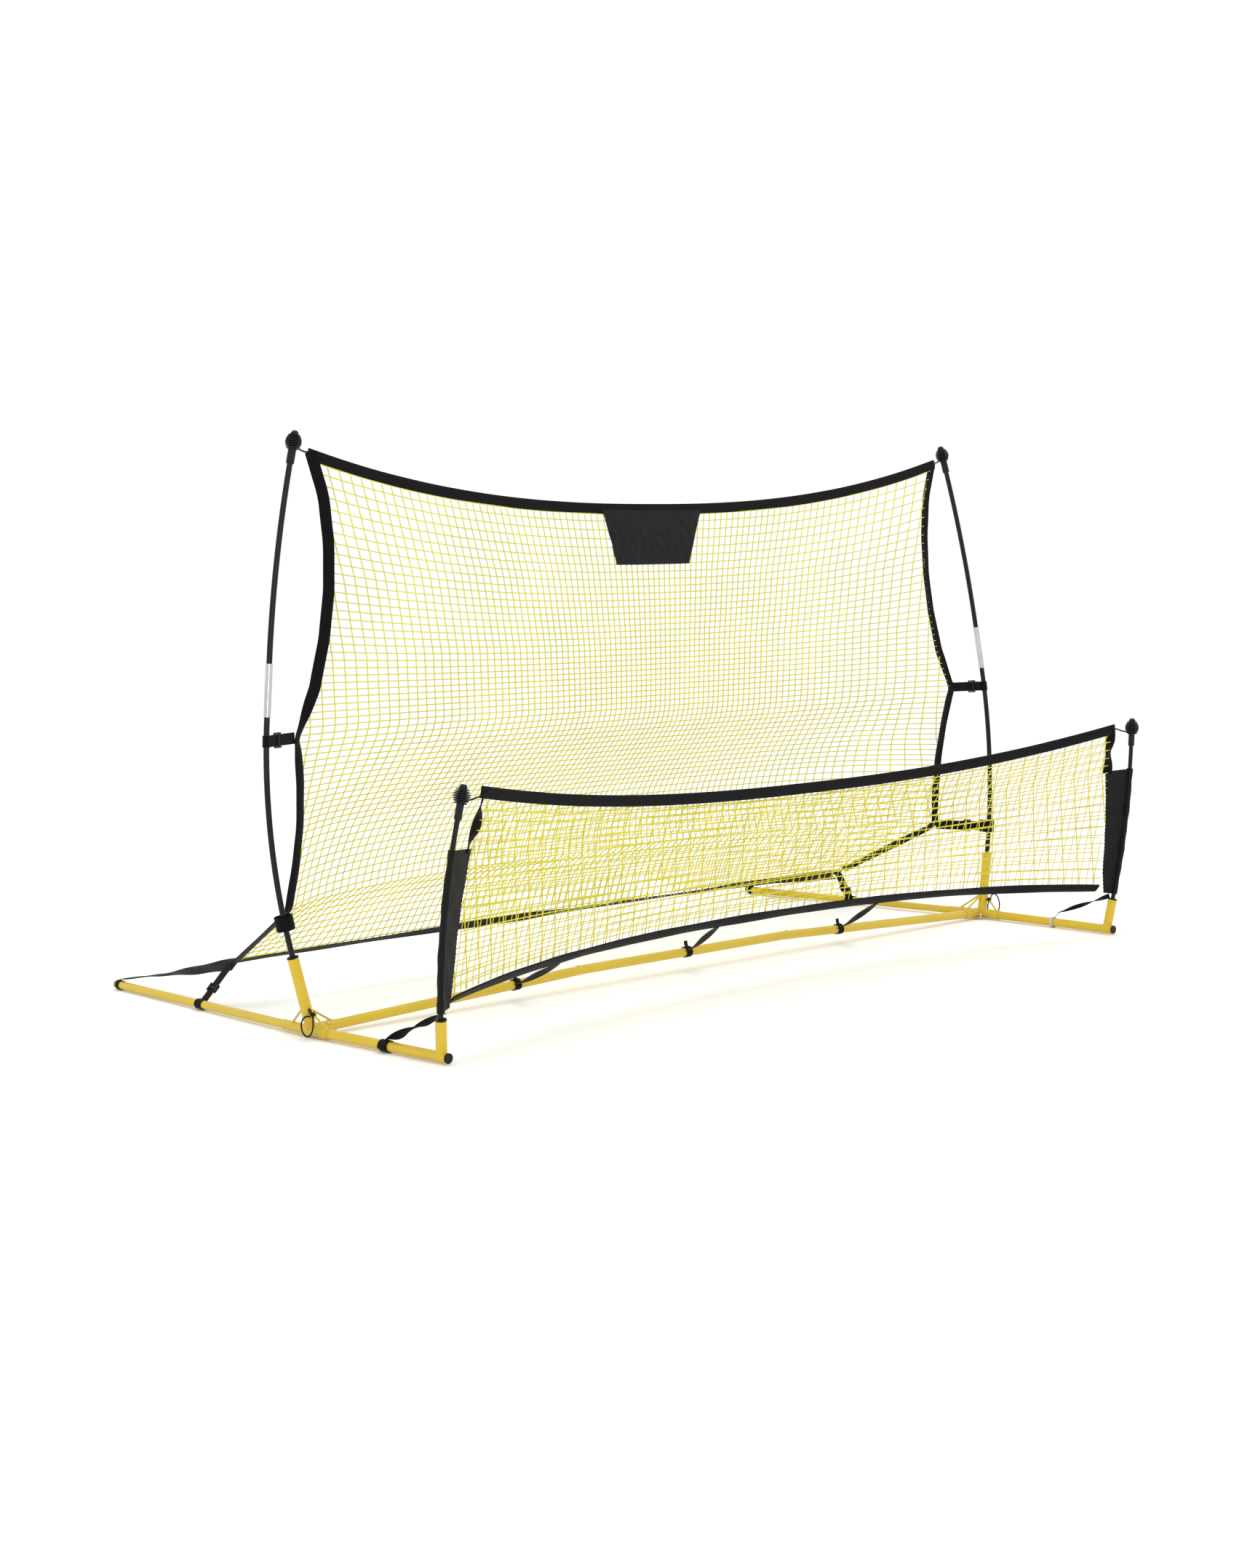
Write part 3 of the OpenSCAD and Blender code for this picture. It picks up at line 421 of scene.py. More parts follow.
def smooth_path(points, count):
    """A Catmull-Rom curve through the points, evenly spaced."""
    p = np.asarray(points, float)
    p = np.concatenate([[2 * p[0] - p[1]], p, [2 * p[-1] - p[-2]]])
    out = []
    for k in range(1, len(p) - 2):
        t = np.linspace(0, 1, 16, endpoint=False)[:, None]
        a, b, c, d = p[k - 1], p[k], p[k + 1], p[k + 2]
        square, cube = 2 * a - 5 * b + 4 * c - d, 3 * b - a - 3 * c + d
        out.append(0.5 * (2 * b + (c - a) * t + square * t ** 2 + cube * t ** 3))
    out = np.concatenate(out + [p[-2:-1]])
    s = run_length(out)
    even = np.linspace(0, s[-1], count)
    return np.stack([np.interp(even, s, out[:, k]) for k in range(3)], 1)


def mirrored(points, side):
    """Points given for the right side, on the side asked for: 1 is right and -1 is left."""
    points = np.array(points, float)
    points[..., 0] *= side
    return points


def wave(points, size, scale, seed=0.0):
    """Small seeded unevenness, one number for each point."""
    flat = np.asarray(points, float).reshape(-1, 3)
    values = [noise.noise(Vector((p[0] * scale + seed, p[1] * scale, p[2] * scale + seed * 0.7))) for p in flat]
    return np.array(values).reshape(np.shape(points)[:-1]) * size


# ---------------------------------------------------------------- where the net hangs

# The anchors were measured with the rear end caps' tips at y = 0.6464, and follow those tips
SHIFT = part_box("rear_end_caps")[1].y - 0.6464


def anchor(x, y, z):
    return np.array([x, y, z]) + (0, SHIFT, 0)


# Right side. TIP is in the tall cap, MID_POLE, LOW_POLE and REAR_FOOT are on the tubes that straps go round,
# and each EDGE point is where the strap beside it meets the net
TIP = anchor(1.1455, -0.0436, 1.2535)
MID_POLE = anchor(1.2703, -0.0977, 0.6352)
LOW_POLE = anchor(1.2547, -0.1315, 0.2480)
EDGE_TOP = anchor(1.1075, -0.0436, 1.2575)
EDGE_MID = anchor(1.1703, -0.0677, 0.6352)
EDGE_LOW = anchor(1.1627, -0.0205, 0.2510)
EDGE_END = anchor(1.0859, 0.2679, 0.0960)
REAR_FOOT = anchor(1.1606, 0.2819, 0.0109)
TAIL_END = anchor(1.1288, 0.6249, 0.0240)
# Directions of the tall pole at its two straps, and of the rear foot
MID_AXIS = np.array([-0.1011, 0.0867, 0.9911])
LOW_AXIS = np.array([0.1805, 0.0857, 0.9798])
FOOT_AXIS = np.array([-0.0924, 0.9957, 0.0])
SIDES = ((-1, "left"), (1, "right"))
BAND = 25 * MM
TUBE_RADIUS = 0.011
BAR_LOOP = 12.4 * MM
TAPE, THIN_TAPE = 1.5 * MM, 1.4 * MM
TOP_SAG = 0.122
WAIST = 0.030
FOLD_FROM = 0.42
FOLD_BACK = 0.115
X_AXIS = np.array([1.0, 0, 0])
Z_AXIS = np.array([0, 0, 1.0])


def side_edge():
    """The net's right edge from its top corner to its tail: it bows in between the straps."""
    rows = []
    for i in range(6):
        t = i / 6
        bow = WAIST * 2.5 * math.sin(math.pi * t) ** 0.7 * (1 - t / 12)
        rows.append(EDGE_TOP + (EDGE_MID - EDGE_TOP) * t - (bow, 0, 0))
    rows.append(EDGE_MID)
    for i in (1, 2, 3):
        t = i / 4
        rows.append(EDGE_MID + (EDGE_LOW - EDGE_MID) * t - (WAIST * 0.7 * math.sin(math.pi * t), 0, 0))
    rows.append(EDGE_LOW)
    rows += [EDGE_LOW + (EDGE_END - EDGE_LOW) * t for t in (1 / 3, 2 / 3, 1)]
    return np.array(rows)


EDGE = side_edge()
EDGE_STEPS = len(EDGE) - 1
EDGE_B = np.linspace(0, 1, EDGE_STEPS + 1)
MID_B, LOW_STRAP_B = 6 / EDGE_STEPS, 10 / EDGE_STEPS
SLACK_POWER = 2.4


def tall_net(a, b):
    """A point of the tall net: a is -1 to 1 across, b is 0 at the top and 1 at the bottom."""
    a, b = np.broadcast_arrays(np.asarray(a, float), np.asarray(b, float))
    e = np.stack([np.interp(b, EDGE_B, EDGE[:, k]) for k in range(3)], -1)
    slack = 1 - np.abs(a) ** SLACK_POWER
    fold = np.sin(np.pi * np.clip((b - FOLD_FROM) / (1 - FOLD_FROM), 0, 1)).clip(0) ** 1.5
    back = slack * (0.020 * (1 - b) + 0.060 * np.sin(np.pi * b ** 3)) + FOLD_BACK * (1 - np.abs(a) ** 6) * fold
    drop = slack * (TOP_SAG * (1 - b) ** 1.6 - 0.030 * np.sin(np.pi * b ** 3))
    return np.stack([a * e[..., 0], e[..., 1] + back, e[..., 2] - drop], -1)


def even_by(spacing, low, high, count=4000):
    """Places between low and high whose gaps follow a spacing function."""
    x = np.linspace(low, high, count)
    steps = np.concatenate([[0], np.cumsum((x[1] - x[0]) / spacing((x[1:] + x[:-1]) / 2))])
    total = int(round(steps[-1]))
    return np.interp(np.arange(total + 1) * steps[-1] / total, steps, x)


# The border's width as a share of the net's half width and of its run from top to bottom
IN_A = BAND / np.interp(0.5, EDGE_B, EDGE[:, 0])
IN_B = 0.26 / EDGE_STEPS
# The last place across that a cord reaches, under the border
CORD_A = 1 - IN_A * 0.55


# How far outwards the outer columns stand at each height, from where they are at half height
SPREAD_HEIGHT = [0.10, 0.20, 0.36, 0.50, 0.65, 0.80, 0.97, 1.20, 1.26]
SPREAD = [0.125, 0.108, 0.058, 0.020, 0.0, 0.006, 0.034, 0.098, 0.118]


def tall_columns():
    """Lines that run up and down, closest together in the middle and drawn in at half height."""
    def spacing(x):
        return np.where(x < 0, 17.2 + 17 * x ** 2, 17.2 + 27 * x ** 2) * MM

    places = even_by(spacing, -1.16, 1.16)
    b = np.linspace(IN_B * 0.95, 1 - IN_B * 0.6, 150)
    lines = []
    for x0 in places:
        a = np.full_like(b, x0 / 1.15)
        for _ in range(3):
            z = tall_net(np.clip(a, -1, 1), b)[:, 2]
            spread = np.interp(z, SPREAD_HEIGHT, SPREAD)
            x = x0 + np.sign(x0) * np.sin(np.minimum(abs(x0) / 0.5, 1) * math.pi / 2) * spread
            a = x / np.interp(b, EDGE_B, EDGE[:, 0])
        inside = np.abs(a) < CORD_A
        # A column is drawn only where it is inside the net's edge, as one line or as several
        start = None
        for k in range(len(b) + 1):
            ok = k < len(b) and inside[k]
            if ok and start is None:
                start = k
            if not ok and start is not None:
                if k - start > 3:
                    lines.append(tall_net(a[start:k], b[start:k]))
                start = None
    return lines


def tall_rows():
    """Lines that run across: tight at half height, opener above and below."""
    counted = np.array([0, 8, 19, 30, 46])
    centre_z = np.array([1.1255, 0.972, 0.800, 0.655, 0.440])
    side_z = np.array([1.2475, 1.056, 0.835, 0.655, 0.418])
    b = np.linspace(0, 1, 1500)
    zc = tall_net(0, b)[:, 2]
    zs = tall_net(1, b)[:, 2]
    bc = [float(np.interp(-z, -zc, b)) for z in centre_z]
    bs = [float(np.interp(-z, -zs, b)) for z in side_z]
    bc[0] = bs[0] = 0.0
    # Below the last counted row the rest are even in height, as seen a little from above
    last, total = 46, 65
    low = np.linspace(0.6177, 1, 400)
    height = tall_net(-0.6, low) @ np.array([0.07, 0.07, 0.995])
    even = np.interp(-np.linspace(height[0], height[-1], total - last + 1), -height, low)
    even = (even - even[0]) / (even[-1] - even[0])
    a = np.linspace(-CORD_A, CORD_A, 170)
    lines = []
    for r in range(1, total):
        if r <= last:
            at_centre, at_side = hermite(r, counted, bc), hermite(r, counted, bs)
        else:
            at_centre, at_side = (k + (1 - k) * even[r - last] for k in (bc[-1], bs[-1]))
        rows = at_centre + (at_side - at_centre) * np.abs(a) ** SLACK_POWER
        lines.append(tall_net(a, np.maximum(rows, IN_B * 1.05)))
    return lines


def hermite(x, xs, ys):
    """A smooth curve through a few knots, read at x."""
    xs, ys = np.asarray(xs, float), np.asarray(ys, float)
    k = int(np.clip(np.searchsorted(xs, x) - 1, 0, len(xs) - 2))
    slopes = np.gradient(ys, xs)
    h = xs[k + 1] - xs[k]
    t = (x - xs[k]) / h
    return ((2 * t ** 3 - 3 * t ** 2 + 1) * ys[k] + (t ** 3 - 2 * t ** 2 + t) * h * slopes[k]
            + (3 * t ** 2 - 2 * t ** 3) * ys[k + 1] + (t ** 3 - t ** 2) * h * slopes[k + 1])


def ride(piece, slot, *nodes):
    """The piece goes with the base and stands for the CAD nodes named; slot is not used."""
    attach(piece, "base")
    if nodes:
        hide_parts(*nodes)


# ---------------------------------------------------------------- elastic cords

# The loop's points in millimetres from its ring's middle, and how far out it hangs from there
ELASTIC_REACH = 20.7 * MM
ELASTIC_POINTS = [
    [6.6, 0, 0], [9.5, 1, 5], [12, 1, 11], [15, -3, 15], [17, -10, 14], [18, -16, 7], [19, -20, -4],
    [19, -21, -16], [19, -19, -28], [19, -13, -38], [19, -5, -44], [19, 4, -44], [19, 12, -39],
    [19, 17, -30], [19, 18, -19], [18, 14, -9], [15, 8, -3], [11, 3, -2], [7.6, 1, -4],
]


def elastic_loops():
    for side, word in SIDES:
        ring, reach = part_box("elastic_rings"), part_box("right_elastic_loop")[1].x
        hub = np.array([reach - ELASTIC_REACH, (ring[0].y + ring[1].y) / 2, (ring[0].z + ring[1].z) / 2])
        path = mirrored(smooth_path(hub + np.array(ELASTIC_POINTS) * MM, 120), side)
        piece = tubes(word + "_elastic", [path], 0.0034 / 2, 12, ELASTIC)
        ride(piece, "black_elastic", word + "_elastic_loop")


elastic_loops()


# ---------------------------------------------------------------- tall net

def tall_netting():
    """The net's cords, up and down and across."""
    net = tubes("tall_netting", tall_columns() + tall_rows(), 1.4 * MM, 5, TWINE)
    ride(net, "yellow_net", "tall_net")


def turned_band(name, centre, across, turn, width, thick, crown):
    """A tape along a line: across is its width direction, turned about the line by turn degrees."""
    centre, across = np.asarray(centre, float), unit(across)
    t = unit(np.gradient(centre, axis=0))
    across = unit(across - t * (across * t).sum(1, keepdims=True))
    normal = np.cross(t, across)
    angle = np.radians(np.broadcast_to(turn, len(centre)))[:, None]
    wide = across * np.cos(angle) + normal * np.sin(angle)
    flat = np.cross(t, wide)
    s = np.linspace(-0.5, 0.5, 7)
    width = np.broadcast_to(width, len(centre))
    grid = centre[:, None] + wide[:, None] * (s[None, :, None] * width[:, None, None])
    grid = grid + flat[:, None] * (crown * (1 - 4 * s ** 2))[None, :, None]
    return cloth(name, grid, thick, WEB)


def top_band():
    """Tape along the top edge, a little uneven."""
    a = np.linspace(-1, 1, 260)
    line = tall_net(a, np.full_like(a, IN_B / 2))
    line[:, 1] -= 0.5 * MM
    line[:, 1] += wave(line, 1.6 * MM, 9)
    up = np.tile([0.0, 0.05, 1.0], (len(a), 1))
    piece = turned_band("top_border", line, up, wave(line, 10, 6, 3.0), BAND, 2.2 * MM, 0.7 * MM)
    ride(piece, "black_webbing", "tall_top_band")


def side_bands():
    """Tape down each side, pinched where the straps hold it and turned in between."""
    for side, word in SIDES:
        b = np.linspace(IN_B * 0.35, 1 - IN_B * 0.3, 150)
        edge = np.stack([np.interp(b, EDGE_B, EDGE[:, k]) for k in range(3)], 1)
        edge = smooth_path(edge[::3], 150)
        inward = np.tile([-1.0, 0.02, 0.0], (150, 1))
        pinch = np.exp(-((b - MID_B) / 0.035) ** 2)
        low_pinch = np.exp(-((b - LOW_STRAP_B) / 0.04) ** 2)
        if side < 0:
            face = np.interp(b, [0, MID_B - 0.03, MID_B + 0.03, 1], [44, 42, -8, -8]) - 30 * pinch
        else:
            face = np.interp(b, [0, LOW_STRAP_B - 0.03, LOW_STRAP_B + 0.03, 1], [4, 4, 30, 30])
        turn = face + wave(edge, 14, 5, side * 2.0)
        width = (25 - 6 * pinch - 3 * low_pinch) * MM
        line = mirrored(edge + inward * 9 * MM, side)
        across = mirrored(inward, side)
        piece = turned_band(word + "_side_border", line, across, turn, width, 2.0 * MM, 1.4 * MM)
        ride(piece, "black_webbing", "tall_side_bands")


def bottom_band():
    """Tape along the bottom edge, slowly turning."""
    a = np.linspace(-1, 1, 240)
    line = tall_net(a, np.full_like(a, 1 - IN_B * 0.5))
    across = np.tile([0.0, 0.80, -0.6], (len(a), 1))
    turn = 14 * np.sin(a * 6.0) + wave(line, 14, 5, 1.0)
    piece = turned_band("bottom_border", line, across, turn, 24 * MM, 2.0 * MM, 0.6 * MM)
    ride(piece, "black_webbing", "tall_bottom_band")


# The target's cut width, its half width across the net, and how much that narrows to its lower edge
PANEL_A, PANEL_TAPER = 0.160, 0.24


def target_panel():
    """A creased cloth target sewn under the top border."""
    m, n = 60, 110
    b_top, b_low = IN_B * 0.6, 1.38 / EDGE_STEPS + IN_B
    rows = []
    for i in range(m):
        t = i / (m - 1)
        half = PANEL_A * (1 - PANEL_TAPER * t)
        a = np.linspace(-half, half, n) - 0.004 * t
        b = np.full_like(a, b_top + (b_low - b_top) * t)
        row = tall_net(a, b)
        row[:, 1] -= 2.9 * MM
        rows.append(row)
    grid = np.array(rows)
    s = np.linspace(0, 1, m)[:, None]
    hold = np.minimum(1, np.minimum(s * 6, (1 - s) * 8))
    crease = wave(grid, 1.0, 22, 4.0) + 0.6 * wave(grid, 1.0, 55, 9.0)
    grid[..., 1] += (np.abs(crease) * -2.2 + 0.4) * MM * hold
    piece = cloth("target_cloth", grid, 0.9 * MM, PANEL)
    ride(piece, "black_fabric", "target_panel")
    surface_area(grid)


tall_netting()
top_band()
side_bands()
bottom_band()
target_panel()

# ---------------------------------------------------------------- low net

# Right side: the net's top corner, and the top and bottom of the sleeve's flap that it is sewn to
LOW_CORNER = anchor(1.1236, -0.6265, 0.5643)
FLAP_TOP = anchor(1.1605, -0.5920, 0.4362)
FLAP_LOW = anchor(1.1935, -0.5600, 0.1090)
LOW_EDGE = np.array([LOW_CORNER, FLAP_TOP, FLAP_LOW])
LOW_LENGTH = run_length(LOW_EDGE)[-1]
LOW_RUN = run_length(LOW_EDGE) / LOW_LENGTH
LOW_A = BAND / LOW_CORNER[0]
LOW_B = BAND / LOW_LENGTH


def low_net(a, b):
    """A point of the low net, by the same a and b; its left top corner stands a little further out."""
    a, b = np.broadcast_arrays(np.asarray(a, float), np.asarray(b, float))
    e = np.stack([np.interp(b, LOW_RUN, LOW_EDGE[:, k]) for k in range(3)], -1)
    high = np.clip(1 - b / LOW_RUN[1], 0, 1) * np.clip(-a, 0, 1) ** 6
    e = e + high[..., None] * (0.018, 0, 0.004)
    slack = 1 - np.abs(a) ** SLACK_POWER
    return np.stack([a * e[..., 0], e[..., 1] + slack * (0.095 * (1 - b) + 0.170 * b),
                     e[..., 2] - slack * (0.082 * (1 - b) - 0.040 * b)], -1)


def low_layer(name, pitch, rise, slant, radius, lift, material, node):
    """One of the two layers: its own mesh size and slant, lifted off the net's surface along y."""
    first_b, last_b = LOW_B * 0.9, 1 - LOW_B * 0.9
    edge = 1 - LOW_A * 0.6

    def lifted(a, b):
        off = lift * np.clip(np.minimum(b - first_b, last_b - b) / 0.05, 0, 1)
        return low_net(a, b) + np.stack([np.zeros(len(b)), off, np.zeros(len(b))], 1)

    lines = []
    b = np.linspace(first_b, last_b, 46)
    for x in np.arange(-1.30, 1.301, pitch):
        a = (x + slant * (b - 0.5)) / np.interp(b, LOW_RUN, LOW_EDGE[:, 0])
        inside = np.abs(a) < edge
        if inside.sum() > 3:
            first, last = np.flatnonzero(inside)[[0, -1]]
            lines.append(lifted(a[first:last + 1], b[first:last + 1]))
    a = np.linspace(-edge, edge, 150)
    count = int(LOW_LENGTH / rise)
    for k in range(1, count):
        t = k / count
        tilt = (0.005 if slant > 0 else 0.009) * np.sin(a * 3 + k * 0.4 + slant * 30) / LOW_LENGTH
        rows = np.clip(first_b + (last_b - first_b) * t + tilt, 0, 1)
        lines.append(lifted(a, rows))
    net = tubes(name, lines, radius, 5, material)
    ride(net, "yellow_net", node)


def low_bands():
    """Tape along the low net's top and bottom, and down each side as far as the sleeve's flap."""
    a = np.linspace(-1, 1, 240)
    pieces = []
    line = low_net(a, np.full_like(a, LOW_B * 0.5))
    up = np.tile([0.0, -0.1, 1.0], (len(a), 1))
    pieces.append(turned_band("low_top_border", line, up, wave(line, 8, 5), BAND, 4.2 * MM, 1.0 * MM))
    a = np.linspace(-1 + LOW_A, 1 - LOW_A, 240)
    line = low_net(a, np.full_like(a, 1 - LOW_B * 0.5))
    turn = 36 + wave(line, 18, 6, 2.0)
    pieces.append(turned_band("low_bottom_border", line, up, turn, BAND, 4.2 * MM, 1.0 * MM))
    for side, word in SIDES:
        b = np.linspace(LOW_B * 0.6, LOW_RUN[1] + 0.01, 50)
        line = low_net(side * (1 - LOW_A * 0.5), b)
        t = np.linspace(0, 1, 50)
        line[:, 0] += side * 2.5 * MM * np.sin(t * 9)
        across = np.tile(X_AXIS, (50, 1))
        turn = (20 + 26 * np.sin(t * 7.5 + 0.6)) * side
        pieces.append(turned_band(word + "_low_side_border", line, across, turn, 24 * MM, 2.0 * MM, 1.2 * MM))
    for piece in pieces:
        ride(piece, "black_webbing", "front_net_bands")


low_layer("low_netting_outer", 0.048, 0.0235, 0.11, 1.35 * MM, -4.6 * MM, HEAVY_TWINE, "front_net_outer")
low_layer("low_netting_inner", 0.0235, 0.0285, -0.03, 0.95 * MM, 4.6 * MM, TWINE, "front_net_inner")
low_bands()


# ---------------------------------------------------------------- sleeves on the short poles

# The right short pole: where it leaves its socket, the radius it is bowed to and its leans
SHORT_FOOT = anchor(1.2102, -0.5716, 0.0893)
SHORT_R = 1.5451
SHORT_LEAN = math.radians(7.5)
FORE_LEAN = math.radians(7.0)
# The flap turns rearwards from the pole's plane, and the sleeve is cut to this size
FLAP_TURN = math.radians(18)
SLEEVE_RADIUS = 7.6 * MM


def short_point(turn, reach):
    """A point in the leaning plane of the right short pole: turn along its arc, reach inwards from it."""
    angle = turn - SHORT_LEAN
    r = SHORT_R - reach
    out = r * math.cos(angle) - SHORT_R * math.cos(SHORT_LEAN)
    rise = r * math.sin(angle) + SHORT_R * math.sin(SHORT_LEAN)
    x, y, z = SHORT_FOOT
    return np.array([x + out, y - rise * math.sin(FORE_LEAN), z + rise * math.cos(FORE_LEAN)])


def pole_sleeves():
    """Cloth sewn round the pole with a tapering flap that meets the net in a bitten, overlocked edge."""
    forward = np.array([0.0, -math.cos(FORE_LEAN), -math.sin(FORE_LEAN)])
    for side, word in SIDES:
        rows = []
        m = 150
        for i in range(m):
            t = i / (m - 1)
            turn = math.radians(0.6 + 12.6 * t)
            axis = short_point(turn, 0)
            inward = unit(short_point(turn, 0.01) - axis)
            inward = unit(inward * math.cos(FLAP_TURN) - forward * math.sin(FLAP_TURN))
            normal = unit(np.cross(inward, unit(short_point(turn + 0.001, 0) - axis)))
            reach = (44 + 36 * t) * MM + 0.9 * MM * math.sin(t * 210)
            if t < 0.16:
                reach -= 10 * MM * (0.16 - t) / 0.16
            row = []
            near = SLEEVE_RADIUS * 0.9
            radius = SLEEVE_RADIUS + 0.5 * MM * math.sin(t * 40) + 0.4 * MM * math.sin(t * 17 + 2)
            for q in np.linspace(0, 1, 12):
                gap = 0.9 * MM + 0.5 * MM * math.sin(q * 7 + t * 30)
                row.append(axis + inward * (reach - (reach - near) * q) + normal * gap)
            for q in np.linspace(0.12, 0.88, 18):
                ang = math.pi * 2 * q
                row.append(axis + inward * radius * math.cos(ang) + normal * radius * math.sin(ang))
            for q in np.linspace(0, 1, 12):
                gap = 0.9 * MM + 0.5 * MM * math.sin(q * 6 + t * 26)
                row.append(axis + inward * (near + (reach - near) * q) - normal * gap)
            rows.append(row)
        grid = mirrored(np.array(rows), side)
        piece = cloth(word + "_sleeve", grid, 0.8 * MM, CLOTH)
        ride(piece, "black_fabric", word + "_pole_sleeve")
        word + "_short_pole"
        surface_area(grid)


pole_sleeves()


# ---------------------------------------------------------------- straps

def frame_at(axis, toward):
    """Three directions: towards something, square to both, and along the axis."""
    axis = unit(axis)
    u = unit(toward - axis * np.dot(toward, axis))
    return u, np.cross(axis, u), axis


def loop_grid(centre, axis, toward, radius, width, turns=1.06):
    """A tape wound round a tube, its last end lapping over its first."""
    u, v, w = frame_at(axis, toward)
    rows = []
    for t in np.arange(44) / 43:
        ang = turns * 2 * math.pi * t
        r = radius + 0.9 * MM * max(0.0, (t * turns - 0.96)) / 0.1
        c = centre + (u * math.cos(ang) + v * math.sin(ang)) * r
        rows.append([c + w * width * (q - 0.5) for q in np.linspace(0, 1, 7)])
    return np.array(rows)


def strap_grid(start, end, across_start, across_end, widths, count=50, twist=0.0, sag=0.0, bulge=0.0):
    """A tape from start to end, its width direction given at both ends, twisted by an angle on the way."""
    t = np.linspace(0, 1, count)[:, None]
    line = start + (end - start) * t - Z_AXIS * sag * np.sin(np.pi * t)
    direction = unit(end - start)
    across = unit(across_start * (1 - t) + across_end * t)
    across = unit(across - direction * (across @ direction)[:, None])
    normal = np.cross(direction, across)
    ang = twist * t
    wide = across * np.cos(ang) + normal * np.sin(ang)
    flat = np.cross(direction, wide)
    width = widths[0] + (widths[1] - widths[0]) * t
    s = np.linspace(-0.5, 0.5, 7)
    grid = line[:, None] + wide[:, None] * (s[None, :, None] * width[:, None])
    return grid + flat[:, None] * (bulge * (1 - 4 * s ** 2))[None, :, None]


def tied_strap(centre, axis, end, clear, radius, loop_width=BAND, slack=0.0):
    """A loop round a tube and a run from it to the net's border: the right side's two grids."""
    run = unit(end - centre)
    u, _, w = frame_at(axis, end - centre)
    across = unit(w - run * np.dot(w, run))
    strap = strap_grid(centre + run * clear, end + run * 2 * MM, across, across, (BAND, BAND))
    return strap, loop_grid(centre + u * slack * 0.5, w, run, radius + slack, loop_width)


def side_straps():
    """Pole straps, held by three-bar slides: a loop round the pole and a run to the net's border."""
    for side, word in SIDES:
        mid = tied_strap(MID_POLE, MID_AXIS, EDGE_MID, 8.0 * MM, 7.7 * MM)
        low = tied_strap(LOW_POLE, LOW_AXIS, EDGE_LOW, 8.0 * MM, 7.7 * MM, 31 * MM, slack=12 * MM)
        foot = tied_strap(REAR_FOOT, FOOT_AXIS, EDGE_END, 11.5 * MM, 10.9 * MM)
        for grids, names, node in ((mid, ("_mid_strap", "_mid_loop"), "_pole_straps"),
                                   (low, ("_low_strap", "_low_loop"), "_pole_straps"),
                                   (foot, ("_foot_run", "_foot_loop"), "_rear_strap")):
            for name, grid in zip(names, grids):
                ride(cloth(word + name, mirrored(grid, side), TAPE, WEB), "black_webbing", word + node)


def corner_tails():
    """Tapering cloth tails from the net's bottom corners to small loops on the rear feet."""
    for side, word in SIDES:
        start = EDGE_END + (-0.0225, 0.004, -0.002)
        rows = []
        m = 70
        for i in range(m):
            t = i / (m - 1)
            c = start + (TAIL_END - start) * t
            width = (44 - 33 * t ** 0.8) * MM
            roll = math.radians(38 * (1 - t) + 14 * math.sin(t * 5))
            droop = -2.5 * MM * math.sin(math.pi * t)
            row = []
            for q in np.linspace(-0.5, 0.5, 9):
                crease = 1.1 * MM * math.cos(q * 6 + t * 20)
                rise = -q * width * math.sin(roll) + droop + crease
                row.append(c + np.array([q * width * math.cos(roll), 0, rise]))
            rows.append(row)
        tail = cloth(word + "_tail", mirrored(np.array(rows), side), 1.2 * MM, CLOTH)
        hub = np.array([TAIL_END[0] - 0.00045, TAIL_END[1] + 0.005, 0.0097])
        wound = loop_grid(hub, FOOT_AXIS, Z_AXIS, 10.9 * MM, 12 * MM)
        loop = cloth(word + "_tail_loop", mirrored(wound, side), THIN_TAPE, WEB)
        for piece in (tail, loop):
            ride(piece, "black_fabric", "corner_tails")


def bar_straps():
    """Loops on the crossbar with a twisted tape up to the low net's bottom border and a short loose end."""
    lo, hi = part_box("middle_crossbar")
    joint_z, y = hi.z - TUBE_RADIUS, (lo.y + hi.y) / 2
    tilt = math.atan(30 / 840)
    for k, x in enumerate((-0.585, 0.0, 0.585)):
        out = max(abs(x) - 0.36, 0)
        centre = np.array([x, y, joint_z - out * math.tan(tilt)])
        axis = np.array([math.cos(tilt), 0, -math.copysign(math.sin(tilt), x)]) if out else X_AXIS
        top = low_net((x - 0.165) / 1.2, 1.0)
        run = unit(top - centre)
        twisted = strap_grid(centre + run * 14.2 * MM, top - run * 4 * MM, axis, X_AXIS, (15 * MM, 12 * MM), 70,
                             twist=math.pi, sag=2 * MM, bulge=0.5 * MM)
        tape = cloth(f"bar_tape_{k}", twisted, THIN_TAPE, WEB)
        wound = loop_grid(centre, axis, np.array([0, 0.3, 1.0]), BAR_LOOP, 20 * MM, 1.1)
        loop = cloth(f"bar_loop_{k}", wound, TAPE, WEB)
        tab = []
        for t in np.linspace(0, 1, 16):
            c = centre + np.array([-2 * MM * t, -1.0 * MM + 2.5 * MM * math.sin(t * 2.2), (12.6 + 15 * t) * MM])
            tab.append([c + axis * q * 11 * MM for q in np.linspace(-0.5, 0.5, 5)])
        tab = cloth(f"bar_tab_{k}", np.array(tab), THIN_TAPE, WEB)
        for piece in (tape, loop, tab):
            ride(piece, "black_webbing", "crossbar_straps")


# Where the right sleeve's foot is tied from
LOW_TIE = anchor(1.1988, -0.5687, 0.1008)


